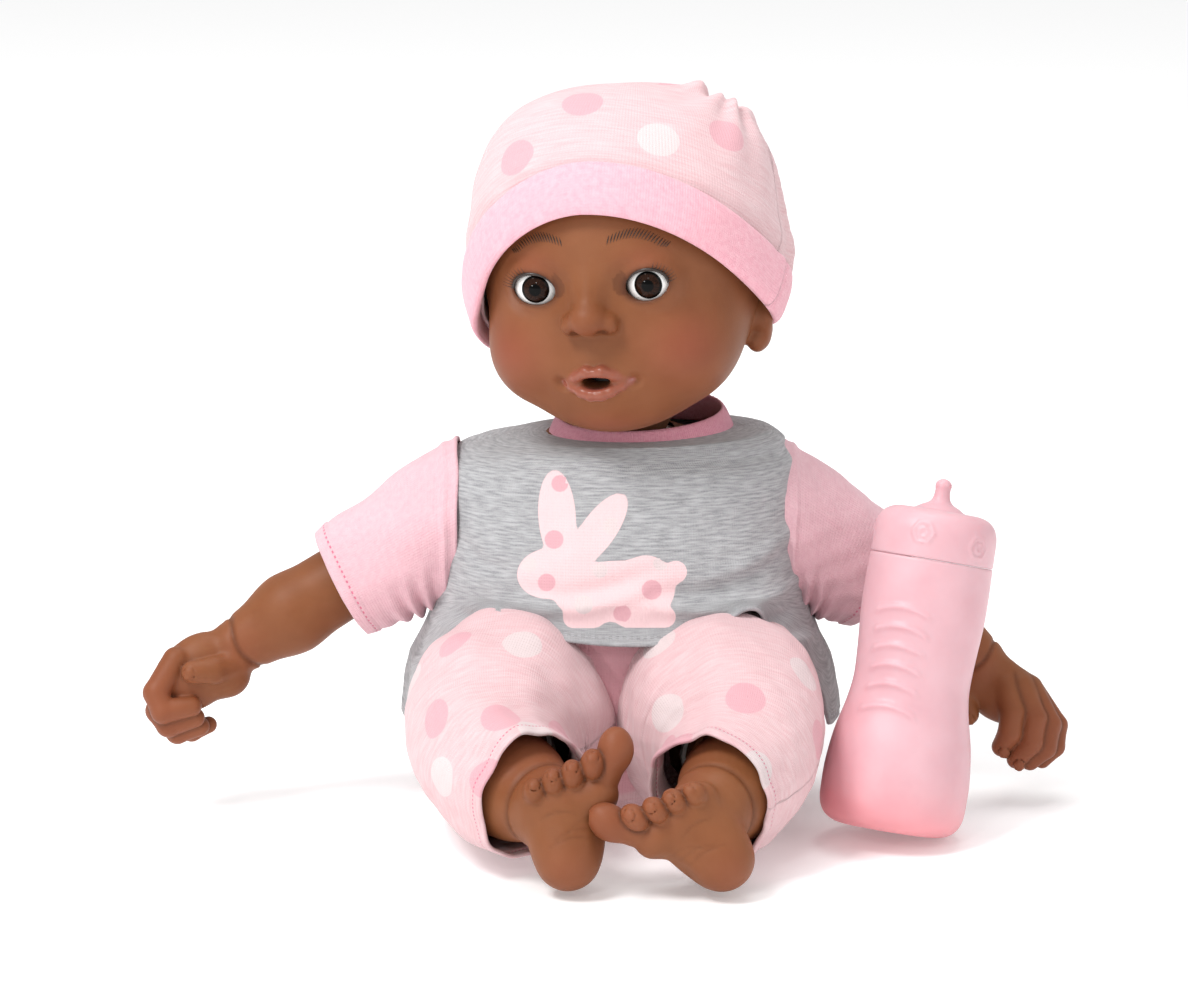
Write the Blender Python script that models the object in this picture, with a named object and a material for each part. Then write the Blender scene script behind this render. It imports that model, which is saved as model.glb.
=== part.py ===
"""Interactive baby doll, 14 inch class, seated, with its toy bottle.

Metres, +Z up. The doll faces -Y and +X is its own left. The origin is on the floor under the
middle of the torso. Every sub-part is its own object. A moving piece sits under an empty that
lies on its joint's axis.
"""

from math import cos, exp, pi, radians, sin, sqrt

import bmesh
import bpy
from mathutils import Euler, Matrix, Vector

MM = 0.001
GAP = 0.4 * MM  # clearance between neighbouring solids

# Driving dimensions of the soft body.
TORSO_CENTRE_Y = 10 * MM
TORSO_SECTIONS = (  # height, half width, half depth
    (5, 40, 28),
    (14, 57, 38),
    (36, 62, 43),
    (66, 60, 42),
    (96, 58, 38),
    (116, 50, 31),
    (127, 35, 24),
    (132, 20, 17),
)
TORSO_SIDES = 24  # facets round the torso and everything worn on it
LIMB_SIDES = 14
HEAD_SIDES = 24
CLOTH = 1.4 * MM  # body cloth wall
GARMENT = 1.6 * MM  # knit garment wall
SHIRT_EASE = 4 * MM  # from the body cloth to the inside of the shirt
NECK_BASE = Vector((0, 10, 131)) * MM
NECK_ROUTE = ((0, 10, 120.5), (0.6, 9.8, 127), (5.6, 6.8, 139), (5.2, 6, 152))
NECK_RADIUS = 12.6 * MM
CABLE_BORE = 3 * MM
CABLE_RADIUS = 1.2 * MM

# Head: semi-axes of the bare vinyl head, its place and how it is turned at rest.
HEAD_CENTRE = Vector((1, 4, 189.5)) * MM
HEAD_SEMI = Vector((50, 51.5, 55.5)) * MM
HEAD_TURN = radians(-15)
HEAD_PITCH = radians(4)
HEAD_ROLL = radians(-5)
HEAD_WALL = 3 * MM
EYE_RADIUS = 8.6 * MM
EYE_PLACE = Vector((19.5, -39.8, 3)) * MM
MOUTH_PLACE = Vector((0, -46.5, -28)) * MM
MOUTH_RADIUS = 4.6 * MM
HAT_TILT = radians(-34)
HAT_RIM = radians(91)  # from the hat's axis, at the front
HAT_SIDE_DROP = radians(15)  # the rim reaches this much lower over the ears
CUFF_DEPTH = radians(21)

# Limbs, listed for the doll's left side and the doll's right side.
SHOULDER = {"left": Vector((51, 14, 101)) * MM, "right": Vector((-51, 8, 102)) * MM}
SHOULDER_RADIUS = 19 * MM
CUFF_POINT = {"left": Vector((89, 17, 77)) * MM, "right": Vector((-94, 6, 79)) * MM}
WRIST = {"left": Vector((125, 12, 47)) * MM, "right": Vector((-133, -2, 56)) * MM}
FIST = {"left": Vector((138, 8, 29)) * MM, "right": Vector((-149, -7, 46)) * MM}
HIP = {"left": Vector((33, -14, 32.5)) * MM, "right": Vector((-33, -14, 32.5)) * MM}
HIP_RADIUS = 24 * MM
KNEE = {"left": Vector((44, -66, 31)) * MM, "right": Vector((-46, -64, 31)) * MM}
ANKLE = {"left": Vector((30, -98, 27)) * MM, "right": Vector((-25, -97, 27)) * MM}
HEEL = {"left": Vector((34.5, -112, 13.8)) * MM, "right": Vector((-19, -111, 11)) * MM}
TOES = {"left": Vector((15.5, -108, 38.5)) * MM, "right": Vector((-22, -106, 48)) * MM}
FOOT_HALF_WIDTH = (9.5, 12, 14, 17, 18.5, 16)
FOOT_HALF_THICK = (7, 9.5, 10.5, 10, 8, 5)

# Voice box, inside the stuffing behind the tummy.
BOX_CENTRE = Vector((0, 12, 87.5)) * MM
BOX_SIZE = Vector((54, 29, 58)) * MM
BOX_WALL = 1.8 * MM
BATTERY_RADIUS = 5.25 * MM
BATTERY_LENGTH = 44.5 * MM

# Toy bottle, leaning on the doll's left arm.
BOTTLE_FOOT = Vector((90.5, -47, 4.2)) * MM
BOTTLE_LEAN = Euler((radians(-13), radians(9.5), 0))
BOTTLE_WALL = 1.8 * MM
BOTTLE_PROFILE = (  # radius, height
    (14, 0),
    (20.5, 3),
    (24, 9),
    (25, 19),
    (23.6, 31),
    (20.6, 42),
    (19.4, 50),
    (20, 60),
    (21.2, 74),
    (20.6, 86),
    (18.6, 92.5),
)


def clear_scene():
    for obj in list(bpy.data.objects):
        bpy.data.objects.remove(obj, do_unlink=True)


def material(name, colour, roughness, metallic=0.0):
    found = bpy.data.materials.get(name) or bpy.data.materials.new(name)
    found.use_nodes = True
    shader = found.node_tree.nodes["Principled BSDF"]
    shader.inputs["Base Color"].default_value = (*colour, 1)
    shader.inputs["Roughness"].default_value = roughness
    shader.inputs["Metallic"].default_value = metallic
    found.diffuse_color = (*colour, 1)
    return found


SKIN = material("brown_vinyl", (0.20, 0.085, 0.04), 0.45)
PINK_KNIT = material("pink_knit", (0.86, 0.47, 0.57), 0.85)
PALE_KNIT = material("pale_pink_knit", (0.87, 0.60, 0.64), 0.85)
GREY_KNIT = material("grey_heather_knit", (0.33, 0.34, 0.37), 0.9)
BODY_CLOTH = material("brown_body_cloth", (0.22, 0.10, 0.055), 0.9)
FIBRE = material("polyester_fibre", (0.85, 0.85, 0.83), 0.95)
PINK_PLASTIC = material("satin_pink_plastic", (0.88, 0.38, 0.45), 0.4)
CASE_PLASTIC = material("white_case_plastic", (0.80, 0.80, 0.78), 0.5)
BLACK_PLASTIC = material("black_plastic", (0.02, 0.02, 0.02), 0.5)
EYE_ACRYLIC = material("eye_acrylic", (0.03, 0.02, 0.015), 0.05)
NYLON = material("nylon_tie", (0.75, 0.75, 0.72), 0.5)
BOARD = material("green_board", (0.03, 0.20, 0.08), 0.5)
STEEL = material("plated_steel", (0.6, 0.6, 0.6), 0.35, 1.0)
BATTERY_LABEL = material("battery_jacket", (0.12, 0.13, 0.15), 0.4)
RUBBER = material("silicone_rubber", (0.3, 0.3, 0.3), 0.7)
PAPER_CONE = material("paper_cone", (0.05, 0.05, 0.05), 0.9)


def joint_empty(name, place):
    empty = bpy.data.objects.new(name, None)
    empty.location = place
    empty.empty_display_size = 10 * MM
    bpy.context.scene.collection.objects.link(empty)
    return empty


def add_mesh(name, points, faces, look, parent=None, sharp=40):
    """A mesh given in world coordinates, hung under its joint's empty without moving it."""
    origin = Vector(parent.location) if parent else Vector((0, 0, 0))
    mesh = bpy.data.meshes.new(name)
    mesh.from_pydata([tuple(Vector(p) - origin) for p in points], [], faces)
    build = bmesh.new()
    build.from_mesh(mesh)
    bmesh.ops.recalc_face_normals(build, faces=build.faces)
    build.to_mesh(mesh)
    build.free()
    mesh.shade_smooth()
    mesh.set_sharp_from_angle(angle=radians(sharp))
    obj = bpy.data.objects.new(name, mesh)
    obj.data.materials.append(look)
    bpy.context.scene.collection.objects.link(obj)
    if parent:
        obj.parent = parent
    return obj


def loft(name, rings, look, parent=None, cyclic=False, sharp=40):
    """Skin over rings of equal length. Ends are capped, or the last ring joins the first."""
    count = len(rings[0])
    points = [p for ring in rings for p in ring]
    faces = []
    steps = len(rings) if cyclic else len(rings) - 1
    for row in range(steps):
        low = row * count
        high = (row + 1) % len(rings) * count
        for k in range(count):
            after = (k + 1) % count
            faces.append((low + k, low + after, high + after, high + k))
    if not cyclic:
        faces.append(tuple(reversed(range(count))))
        faces.append(tuple(range(len(points) - count, len(points))))
    return add_mesh(name, points, faces, look, parent, sharp)


def ring(centre, across, up, count=20):
    """Points on the ellipse with half-axis vectors across and up."""
    turns = [2 * pi * k / count for k in range(count)]
    return [centre + across * cos(t) + up * sin(t) for t in turns]


def sweep_rings(path, radii, count=LIMB_SIDES, inset=0.0):
    """Round or elliptical rings square to a path. A radius is a number or an (across, up) pair."""
    rings = []
    for index, centre in enumerate(path):
        ahead = path[min(index + 1, len(path) - 1)]
        behind = path[max(index - 1, 0)]
        along = (ahead - behind).normalized()
        side = along.cross(Vector((0, 0, 1)))
        if side.length < 0.2:
            side = along.cross(Vector((0, 1, 0)))
        side.normalize()
        up = side.cross(along)
        radius = radii[index]
        wide, high = radius if isinstance(radius, tuple) else (radius, radius)
        rings.append(ring(centre, side * (wide - inset), up * (high - inset), count))
    return rings


def shell_tube(name, path, radii, wall, look, parent=None, count=LIMB_SIDES):
    """An open-ended tube of the given wall around a path."""
    outside = sweep_rings(path, radii, count)
    inside = sweep_rings(path, radii, count, wall)
    return loft(name, outside + inside[::-1], look, parent, cyclic=True)


def ellipsoid(name, centre, semi, look, parent=None, rows=8, count=16):
    rings = []
    for row in range(1, rows):
        polar = pi * row / rows
        level = centre + Vector((0, 0, -semi[2] * cos(polar)))
        reach = sin(polar)
        across = Vector((semi[0] * reach, 0, 0))
        rings.append(ring(level, across, Vector((0, semi[1] * reach, 0)), count))
    return loft(name, rings, look, parent, sharp=80)


def block(name, centre, size, look, parent=None, bevel=0.0):
    build = bmesh.new()
    bmesh.ops.create_cube(build, size=1, matrix=Matrix.Diagonal((*size, 1)))
    if bevel:
        bmesh.ops.bevel(build, geom=build.edges[:], offset=bevel, segments=1, affect="EDGES")
    build.verts.ensure_lookup_table()
    build.verts.index_update()
    points = [centre + v.co for v in build.verts]
    faces = [tuple(v.index for v in face.verts) for face in build.faces]
    build.free()
    return add_mesh(name, points, faces, look, parent, sharp=30)


def rod(name, start, end, radius, look, parent=None, count=14, end_radius=None):
    along = (end - start).normalized()
    side = along.orthogonal().normalized()
    up = along.cross(side)
    last = radius if end_radius is None else end_radius
    rings = [
        ring(start, side * radius, up * radius, count),
        ring(end, side * last, up * last, count),
    ]
    return loft(name, rings, look, parent)


def boolean(obj, tool, operation="DIFFERENCE"):
    """Cut obj by tool, or join tool to it. The tool stays as a hidden helper."""
    tool.hide_render = True
    tool.display_type = "WIRE"
    change = obj.modifiers.new(f"{operation.lower()}_{tool.name}", "BOOLEAN")
    change.operation = operation
    change.object = tool
    change.solver = "EXACT"
    return obj


# ---------------------------------------------------------------- torso and voice box


def torso_rings(grow=0.0, lowest=None, highest=None, count=TORSO_SIDES):
    """Torso sections moved outwards by grow. The ends can be given another height."""
    rings = []
    for index, (height, half_width, half_depth) in enumerate(TORSO_SECTIONS):
        z = height * MM
        if index == 0 and lowest is not None:
            z = lowest
        if index == len(TORSO_SECTIONS) - 1 and highest is not None:
            z = highest
        across = Vector((half_width * MM + grow, 0, 0))
        deep = Vector((0, half_depth * MM + grow, 0))
        rings.append(ring(Vector((0, TORSO_CENTRE_Y, z)), across, deep, count))
    return rings


def root_rings(centre, along, radius, grow, tail):
    """Rings of a limb root: a round seat, then a straight tail of (distance, radius) pairs."""
    path = [centre - along * (radius * 0.97 + grow)]
    radii = [radius * 0.24 + grow]
    for turn in (-52, -25, 0, 25):
        path.append(centre + along * radius * sin(radians(turn)))
        radii.append(radius * cos(radians(turn)) + grow)
    for distance, reach in tail:
        path.append(centre + along * distance)
        radii.append(reach + grow)
    return sweep_rings(path, radii)


def limb_sockets():
    """Cutters where the four cloth limb roots sit in the torso and leave through the clothes."""
    tools = []
    for side in ("left", "right"):
        for name, place, towards, radius in (
            ("shoulder", SHOULDER[side], CUFF_POINT[side], SHOULDER_RADIUS),
            ("hip", HIP[side], KNEE[side], HIP_RADIUS),
        ):
            along = (towards - place).normalized()
            rings = root_rings(place, along, radius, 2 * GAP, ((60 * MM, radius),))
            tools.append(loft(f"{side}_{name}_cutter", rings, FIBRE))
    return tools


def neck_path():
    return [Vector(point) * MM for point in NECK_ROUTE]


def cable_points():
    """Route of the mouth-switch cable, from the head down to the voice box."""
    top = BOX_CENTRE.z + BOX_SIZE.z / 2
    inside_neck = neck_path()
    return [
        head_point(MOUTH_PLACE + Vector((0, 19.4, -1)) * MM),
        head_point(MOUTH_PLACE + Vector((0, 27, -2)) * MM),
        inside_neck[3] + Vector((0, 0, 3 * MM)),
        inside_neck[2],
        inside_neck[1],
        Vector((0, 10 * MM, top + 0.6 * MM)),
    ]


def add_torso():
    floor = TORSO_SECTIONS[0][0] * MM
    top = TORSO_SECTIONS[-1][0] * MM
    outside = torso_rings()
    inside = torso_rings(-CLOTH, lowest=floor + CLOTH)
    cover = loft("torso_cover", inside + outside[::-1], BODY_CLOTH)
    stuffing = loft(
        "torso_stuffing",
        torso_rings(-CLOTH - GAP, floor + CLOTH + GAP, top - CLOTH),
        FIBRE,
    )
    for tool in limb_sockets():
        boolean(cover, tool)
        boolean(stuffing, tool)
    pocket_size = BOX_SIZE + Vector((2 * GAP, 60 * MM, 2 * GAP))
    front = BOX_CENTRE.y - BOX_SIZE.y / 2 - 3.5 * MM
    middle = Vector((0, front + pocket_size.y / 2, BOX_CENTRE.z))
    pocket = block("pocket_cutter", middle, pocket_size, FIBRE)
    boolean(stuffing, pocket)
    # Only the back of the cover is opened, so that the voice box can be taken out.
    slit_centre = Vector((0, TORSO_CENTRE_Y + 40 * MM, BOX_CENTRE.z))
    slit = block("slit_cutter", slit_centre, (BOX_SIZE.x, 40 * MM, BOX_SIZE.z - 4 * MM), FIBRE)
    boolean(cover, slit)
    neck_seat = rod(
        "neck_seat_cutter",
        neck_path()[0] - Vector((0, 0, 2 * MM)),
        neck_path()[1] + Vector((0, 0, 8 * MM)),
        NECK_RADIUS + 3 * MM,
        FIBRE,
        count=16,
    )
    boolean(cover, neck_seat)
    boolean(stuffing, neck_seat)
    low = cable_points()[-1]
    channel = rod(
        "cable_channel_cutter",
        low - Vector((0, 0, 2 * MM)),
        low + Vector((0, 0, 8 * MM)),
        CABLE_BORE,
        FIBRE,
        count=12,
    )
    boolean(stuffing, channel)
    block(
        "pocket_flap",
        Vector((0, BOX_CENTRE.y + BOX_SIZE.y / 2 + 4 * MM, BOX_CENTRE.z)),
        (BOX_SIZE.x - 3 * MM, 1.6 * MM, BOX_SIZE.z - 3 * MM),
        BODY_CLOTH,
        bevel=0.4 * MM,
    )


def tray(name, centre, size, wall, open_side, look):
    """A box shell open towards -Y (open_side -1) or +Y (open_side +1)."""
    shell = block(name, centre, size, look, bevel=1.2 * MM)
    hollow = Vector(size) - Vector((2 * wall, 0, 2 * wall))
    middle = centre + Vector((0, open_side * wall, 0))
    boolean(shell, block(f"{name}_cutter", middle, hollow, look))
    return shell


def add_voice_box():
    front_depth = 11 * MM
    back_depth = BOX_SIZE.y - front_depth - GAP
    front_y = BOX_CENTRE.y - BOX_SIZE.y / 2
    back_y = BOX_CENTRE.y + BOX_SIZE.y / 2
    front_middle = Vector((0, front_y + front_depth / 2, BOX_CENTRE.z))
    back_middle = Vector((0, back_y - back_depth / 2, BOX_CENTRE.z))
    front = tray(
        "voice_box_front",
        front_middle,
        (BOX_SIZE.x, front_depth, BOX_SIZE.z),
        BOX_WALL,
        1,
        CASE_PLASTIC,
    )
    back = tray(
        "voice_box_back",
        back_middle,
        (BOX_SIZE.x, back_depth, BOX_SIZE.z),
        BOX_WALL,
        -1,
        CASE_PLASTIC,
    )
    speaker_at = Vector((0, front_y, BOX_CENTRE.z + 11.5 * MM))
    for slot in range(5):
        rise = (slot - 2) * 4.4 * MM
        centre = speaker_at + Vector((0, 0, rise))
        length = 2 * sqrt((12 * MM) ** 2 - rise**2)
        boolean(
            front, block(f"grille_cutter_{slot}", centre, (length, 8 * MM, 1.8 * MM), FIBRE)
        )
    ahead = Vector((0, 1, 0))
    rod(
        "speaker_cone",
        speaker_at + ahead * 2.4 * MM,
        speaker_at + ahead * 4.4 * MM,
        13.5 * MM,
        PAPER_CONE,
        count=20,
    )
    rod(
        "speaker_magnet",
        speaker_at + ahead * 4.8 * MM,
        speaker_at + ahead * 9.2 * MM,
        11 * MM,
        STEEL,
        count=20,
        end_radius=8 * MM,
    )

    # Tummy button on the front face, over a rubber dome and a switch on the board.
    button_at = Vector((0, front_y, BOX_CENTRE.z - 15 * MM))
    hole = rod(
        "button_hole_cutter",
        button_at - ahead * 3 * MM,
        button_at + ahead * 5 * MM,
        8.5 * MM,
        FIBRE,
        count=20,
    )
    boolean(front, hole)
    press = joint_empty("tummy_press_axis", button_at)
    rod(
        "tummy_button",
        button_at - ahead * 2 * MM,
        button_at + ahead * 2.6 * MM,
        8 * MM,
        PINK_PLASTIC,
        press,
        count=20,
    )
    rod(
        "tummy_dome",
        button_at + ahead * 5.4 * MM,
        button_at + ahead * 8.4 * MM,
        3 * MM,
        RUBBER,
        count=14,
        end_radius=4.4 * MM,
    )
    board_y = front_y + front_depth - 2 * MM
    block(
        "circuit_board",
        Vector((0, board_y + 0.8 * MM, BOX_CENTRE.z - 14.5 * MM)),
        (46 * MM, 1.4 * MM, 24 * MM),
        BOARD,
    )

    # Battery bay in the back half, closed by a screwed door.
    bay_y = back_y - 3.4 * MM - BATTERY_RADIUS
    bay_z = BOX_CENTRE.z + 3 * MM
    for number in range(3):
        x = (number - 1) * (2 * BATTERY_RADIUS + 0.6 * MM)
        half = Vector((0, 0, BATTERY_LENGTH / 2))
        middle = Vector((x, bay_y, bay_z))
        rod(
            f"battery_{number + 1}",
            middle - half,
            middle + half,
            BATTERY_RADIUS,
            BATTERY_LABEL,
            count=16,
        )
    for label, sign in (("upper", 1), ("lower", -1)):
        z = bay_z + sign * (BATTERY_LENGTH / 2 + GAP + 0.5 * MM)
        block(
            f"{label}_battery_contact", Vector((0, bay_y, z)), (33 * MM, 8 * MM, 0.8 * MM), STEEL
        )
    door_size = Vector((38, 1.8, 47)) * MM
    door_middle = Vector((0, back_y - door_size.y / 2, bay_z))
    opening = door_size + Vector((2 * GAP, 8 * MM, 2 * GAP))
    boolean(back, block("door_opening_cutter", door_middle, opening, FIBRE))
    door = block("battery_door", door_middle, door_size, CASE_PLASTIC, bevel=0.5 * MM)
    screw_at = Vector((0, back_y, bay_z - 20 * MM))
    bore = rod(
        "door_screw_bore_cutter",
        screw_at - ahead * 4 * MM,
        screw_at + ahead * 2 * MM,
        2.0 * MM,
        FIBRE,
        count=12,
    )
    boolean(door, bore)
    rod("door_screw", screw_at - ahead * 2.4 * MM, screw_at + ahead * 0.4 * MM, 1.5 * MM, STEEL)

    # On-off slide switch under the door, and four case screws in the corners.
    switch_at = Vector((8 * MM, back_y, BOX_CENTRE.z - 25.5 * MM))
    slot = block("switch_slot_cutter", switch_at, (11 * MM, 9 * MM, 4 * MM), FIBRE)
    boolean(back, slot)
    slide = joint_empty("power_slide_axis", switch_at)
    block(
        "power_switch_knob",
        switch_at + Vector((-2, -0.4, 0)) * MM,
        (5.5 * MM, 3.6 * MM, 3 * MM),
        BLACK_PLASTIC,
        slide,
        bevel=0.3 * MM,
    )
    for number, (sx, sz) in enumerate(((-1, -1), (1, -1), (-1, 1), (1, 1))):
        place = Vector((sx * 23.5 * MM, back_y, BOX_CENTRE.z + sz * 26 * MM))
        bore = rod(
            f"case_bore_cutter_{number}",
            place - ahead * 5 * MM,
            place + ahead * 2 * MM,
            2.0 * MM,
            FIBRE,
            count=12,
        )
        boolean(back, bore)
        rod(
            f"case_screw_{number + 1}",
            place - ahead * 4.4 * MM,
            place + ahead * 0.3 * MM,
            1.6 * MM,
            STEEL,
        )


# ---------------------------------------------------------------- head, neck and hat


HEAD_TURNED = Euler((HEAD_PITCH, HEAD_ROLL, HEAD_TURN), "XYZ").to_matrix()


def head_point(local):
    """World place of a point given from the head's centre, in the head's own axes."""
    return HEAD_CENTRE + HEAD_TURNED @ local


def bump(direction, towards, spread):
    """A smooth hill of height 1 round one direction."""
    away = direction.angle(Vector(towards))
    return exp(-((away / spread) ** 2))


def head_radius(direction):
    """Distance from the head's centre to the vinyl surface along a unit direction."""
    a, b, c = HEAD_SEMI
    base = 1 / sqrt((direction.x / a) ** 2 + (direction.y / b) ** 2 + (direction.z / c) ** 2)
    shape = 2.4 * bump(direction, (0.55, -0.7, -0.5), 0.42)
    shape += 2.4 * bump(direction, (-0.55, -0.7, -0.5), 0.42)
    shape += 2.0 * bump(direction, (0, -0.75, -0.75), 0.3)
    shape += 2.5 * bump(direction, (0, 0.9, 0.4), 0.7)
    shape += 4.5 * bump(direction, (0, -1, -0.27), 0.13)
    shape -= 1.5 * bump(direction, (0, -1, 0.02), 0.25)
    return base + shape * MM


def polar_rings(shares, offset, tilt=0.0, last=lambda turn: pi, count=HEAD_SIDES):
    """Rings round the (tilted) top of the head, offset from the vinyl surface.

    A share of 1 is the polar angle last(turn). The offset is a number or a function of the share.
    """
    lean = Matrix.Rotation(tilt, 3, "X")
    rings = []
    for share in shares:
        away = offset(share) if callable(offset) else offset
        level = []
        for k in range(count):
            turn = 2 * pi * k / count
            polar = share * last(turn)
            flat = Vector((sin(polar) * cos(turn), sin(polar) * sin(turn), cos(polar)))
            direction = lean @ flat
            level.append(head_point(direction * (head_radius(direction) + away)))
        rings.append(level)
    return rings


def span(first, last, steps):
    return [first + (last - first) * k / steps for k in range(steps + 1)]


def add_head(axis):
    shares = span(0.06, radians(161) / pi, 11)
    outside = polar_rings(shares, 0.0)
    inside = polar_rings(shares, -HEAD_WALL)
    shell = loft("head_shell", inside + outside[::-1], SKIN, axis, sharp=60)
    for side, sign in (("left", 1), ("right", -1)):
        ear = ellipsoid(
            f"{side}_ear_joiner",
            head_point(Vector((sign * 41.5, 8, -32)) * MM),
            Vector((4, 6, 7)) * MM,
            SKIN,
            rows=6,
            count=10,
        )
        boolean(shell, ear, "UNION")
        place = head_point(Vector((sign * EYE_PLACE.x, EYE_PLACE.y, EYE_PLACE.z)))
        socket = EYE_RADIUS + GAP
        hollow = ellipsoid(f"{side}_eye_cutter", place, (socket, socket, socket), SKIN)
        boolean(shell, hollow)
        eye_size = (EYE_RADIUS, EYE_RADIUS, EYE_RADIUS)
        ellipsoid(f"{side}_eye", place, eye_size, EYE_ACRYLIC, axis)
    mouth = rod(
        "mouth_cutter",
        head_point(MOUTH_PLACE + Vector((0, -8 * MM, 0))),
        head_point(MOUTH_PLACE + Vector((0, 14 * MM, 0))),
        MOUTH_RADIUS,
        SKIN,
        count=16,
    )
    boolean(shell, mouth)

    # Mouth sensor: a sprung plunger in a square holder, with a small switch behind it.
    deep = MOUTH_PLACE + Vector((0, 14 * MM, 0))
    holder_size = Vector((13, 9, 11)) * MM
    holder = block("mouth_switch_holder", Vector(), holder_size, CASE_PLASTIC, axis)
    holder.matrix_local = Matrix.Translation(head_point(deep) - axis.location) @ (
        HEAD_TURNED.to_4x4() @ Matrix.Translation(axis.location)
    )
    bore = rod(
        "plunger_bore_cutter",
        head_point(deep + Vector((0, -8 * MM, 0))),
        head_point(deep + Vector((0, 2.6 * MM, 0))),
        3.3 * MM,
        SKIN,
    )
    boolean(holder, bore)
    plunger_axis = joint_empty("mouth_press_axis", head_point(deep))
    rod(
        "mouth_plunger",
        head_point(deep + Vector((0, -8 * MM, 0))),
        head_point(deep + Vector((0, -0.2 * MM, 0))),
        2.9 * MM,
        PINK_PLASTIC,
        plunger_axis,
    )


def add_neck(axis):
    route = neck_path()
    outside = sweep_rings(route, [NECK_RADIUS] * len(route), LIMB_SIDES)
    inside = sweep_rings(route, [CABLE_BORE] * len(route), LIMB_SIDES)
    loft("neck_stub", outside + inside[::-1], BODY_CLOTH, axis, cyclic=True)
    tie_path = [route[2].lerp(route[3], 0.6), route[2].lerp(route[3], 0.8)]
    shell_tube(
        "neck_tie",
        tie_path,
        [NECK_RADIUS + GAP + 1.4 * MM] * 2,
        1.4 * MM,
        NYLON,
        axis,
        LIMB_SIDES,
    )


def add_mouth_cable():
    """The cable, from the mouth switch through the neck's bore to just above the voice box."""
    path = cable_points()
    loft(
        "mouth_switch_cable", sweep_rings(path, [CABLE_RADIUS] * len(path), 8), BLACK_PLASTIC
    )


def hat_rim(turn):
    """Polar angle of the hat's rim: high over the brow, low over the ears and the nape."""
    return HAT_RIM + HAT_SIDE_DROP * cos(turn) ** 2 + radians(3) * sin(turn)


def add_hat(axis):
    def loose(share):
        """Knit stands off the crown a little more towards the gathered top."""
        return (1.4 + 3.2 * exp(-((share / 0.35) ** 2))) * MM

    shares = span(0.07, 0.97, 8)
    inner = polar_rings(shares, loose, HAT_TILT, hat_rim)
    outer = polar_rings(shares, lambda s: loose(s) + GARMENT, HAT_TILT, hat_rim)
    crown = loft("hat_crown", inner + outer[::-1], PALE_KNIT, axis, cyclic=True, sharp=80)
    top = HEAD_TURNED @ (Matrix.Rotation(HAT_TILT, 3, "X") @ Vector((0, 0, 1)))
    middle = HEAD_CENTRE + top * (HEAD_SEMI.z + 2.4 * MM)
    knot = rod(
        "hat_gather_joiner",
        middle - top * 1.2 * MM,
        middle + top * 4 * MM,
        9 * MM,
        PALE_KNIT,
        end_radius=6 * MM,
    )
    boolean(crown, knot, "UNION")

    first = 1 - CUFF_DEPTH / HAT_RIM
    base = GARMENT + 1.9 * MM

    def bulge(share):
        across = min(max((share - first) / (1 - first), 0), 1)
        return base + 0.8 * MM + 2.4 * MM * sin(pi * across) ** 0.5

    shares = span(first, 1, 3)
    inner = polar_rings(shares, base, HAT_TILT, hat_rim)
    outer = polar_rings(shares, bulge, HAT_TILT, hat_rim)
    loft("hat_cuff", inner + outer[::-1], PINK_KNIT, axis, cyclic=True, sharp=80)


# ---------------------------------------------------------------- limbs


def cup_tube(name, path, radii, wall, look, parent, count=LIMB_SIDES):
    """A tube open at its first point and closed at its last, like a cast vinyl limb."""
    outside = sweep_rings(path, radii, count)
    inside = sweep_rings(path, radii, count, wall)[:-1]
    return loft(name, inside[::-1] + outside, look, parent, sharp=60)


def cloth_root(name, centre, along, radius, length, end_radius, bore, look, parent):
    """Stuffed cloth limb root: round where it sits in the torso, with an open end."""
    reach = centre + along * length
    tail = ((length - 6 * MM, end_radius), (length, end_radius))
    root = loft(name, root_rings(centre, along, radius, 0.0, tail), look, parent, sharp=60)
    hollow = rod(
        f"{name}_end_cutter", reach - along * bore[1], reach + along * 5 * MM, bore[0], look
    )
    return boolean(root, hollow)


def add_arm(side, swing_axis, twist_axis):
    shoulder, cuff = SHOULDER[side], CUFF_POINT[side]
    wrist, fist = WRIST[side], FIST[side]
    along = (cuff - shoulder).normalized()
    reach = (cuff - shoulder).length - 8 * MM
    neck_radius = 9.4 * MM
    cloth_root(
        f"{side}_arm_root",
        shoulder,
        along,
        SHOULDER_RADIUS,
        reach,
        12.6 * MM,
        (neck_radius + GAP, 12 * MM),
        BODY_CLOTH,
        swing_axis,
    )
    tie_end = shoulder + along * (reach - 2 * MM)
    shell_tube(
        f"{side}_arm_tie",
        [tie_end - along * 2.6 * MM, tie_end],
        [12.6 * MM + GAP + 1.2 * MM] * 2,
        1.2 * MM,
        NYLON,
        swing_axis,
    )
    neck_start = shoulder + along * (reach - 10 * MM)
    flange = shoulder + along * (reach + 0.6 * MM)
    forearm = (wrist - cuff).normalized()
    palm = (fist - wrist).normalized()
    path = [
        neck_start,
        flange,
        flange + along * 0.8 * MM,
        cuff + forearm * 3 * MM,
        cuff.lerp(wrist, 0.55),
        wrist,
        wrist.lerp(fist, 0.45),
        fist,
        fist + palm * 9 * MM,
        fist + palm * 13 * MM,
    ]
    radii = [neck_radius, neck_radius, 13.4 * MM, 14.2 * MM, 13 * MM, 9.6 * MM]
    radii += [12.5 * MM, 14.5 * MM, 11 * MM, 5 * MM]
    cup_tube(f"{side}_arm", path, radii, 2.4 * MM, SKIN, twist_axis)


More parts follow.
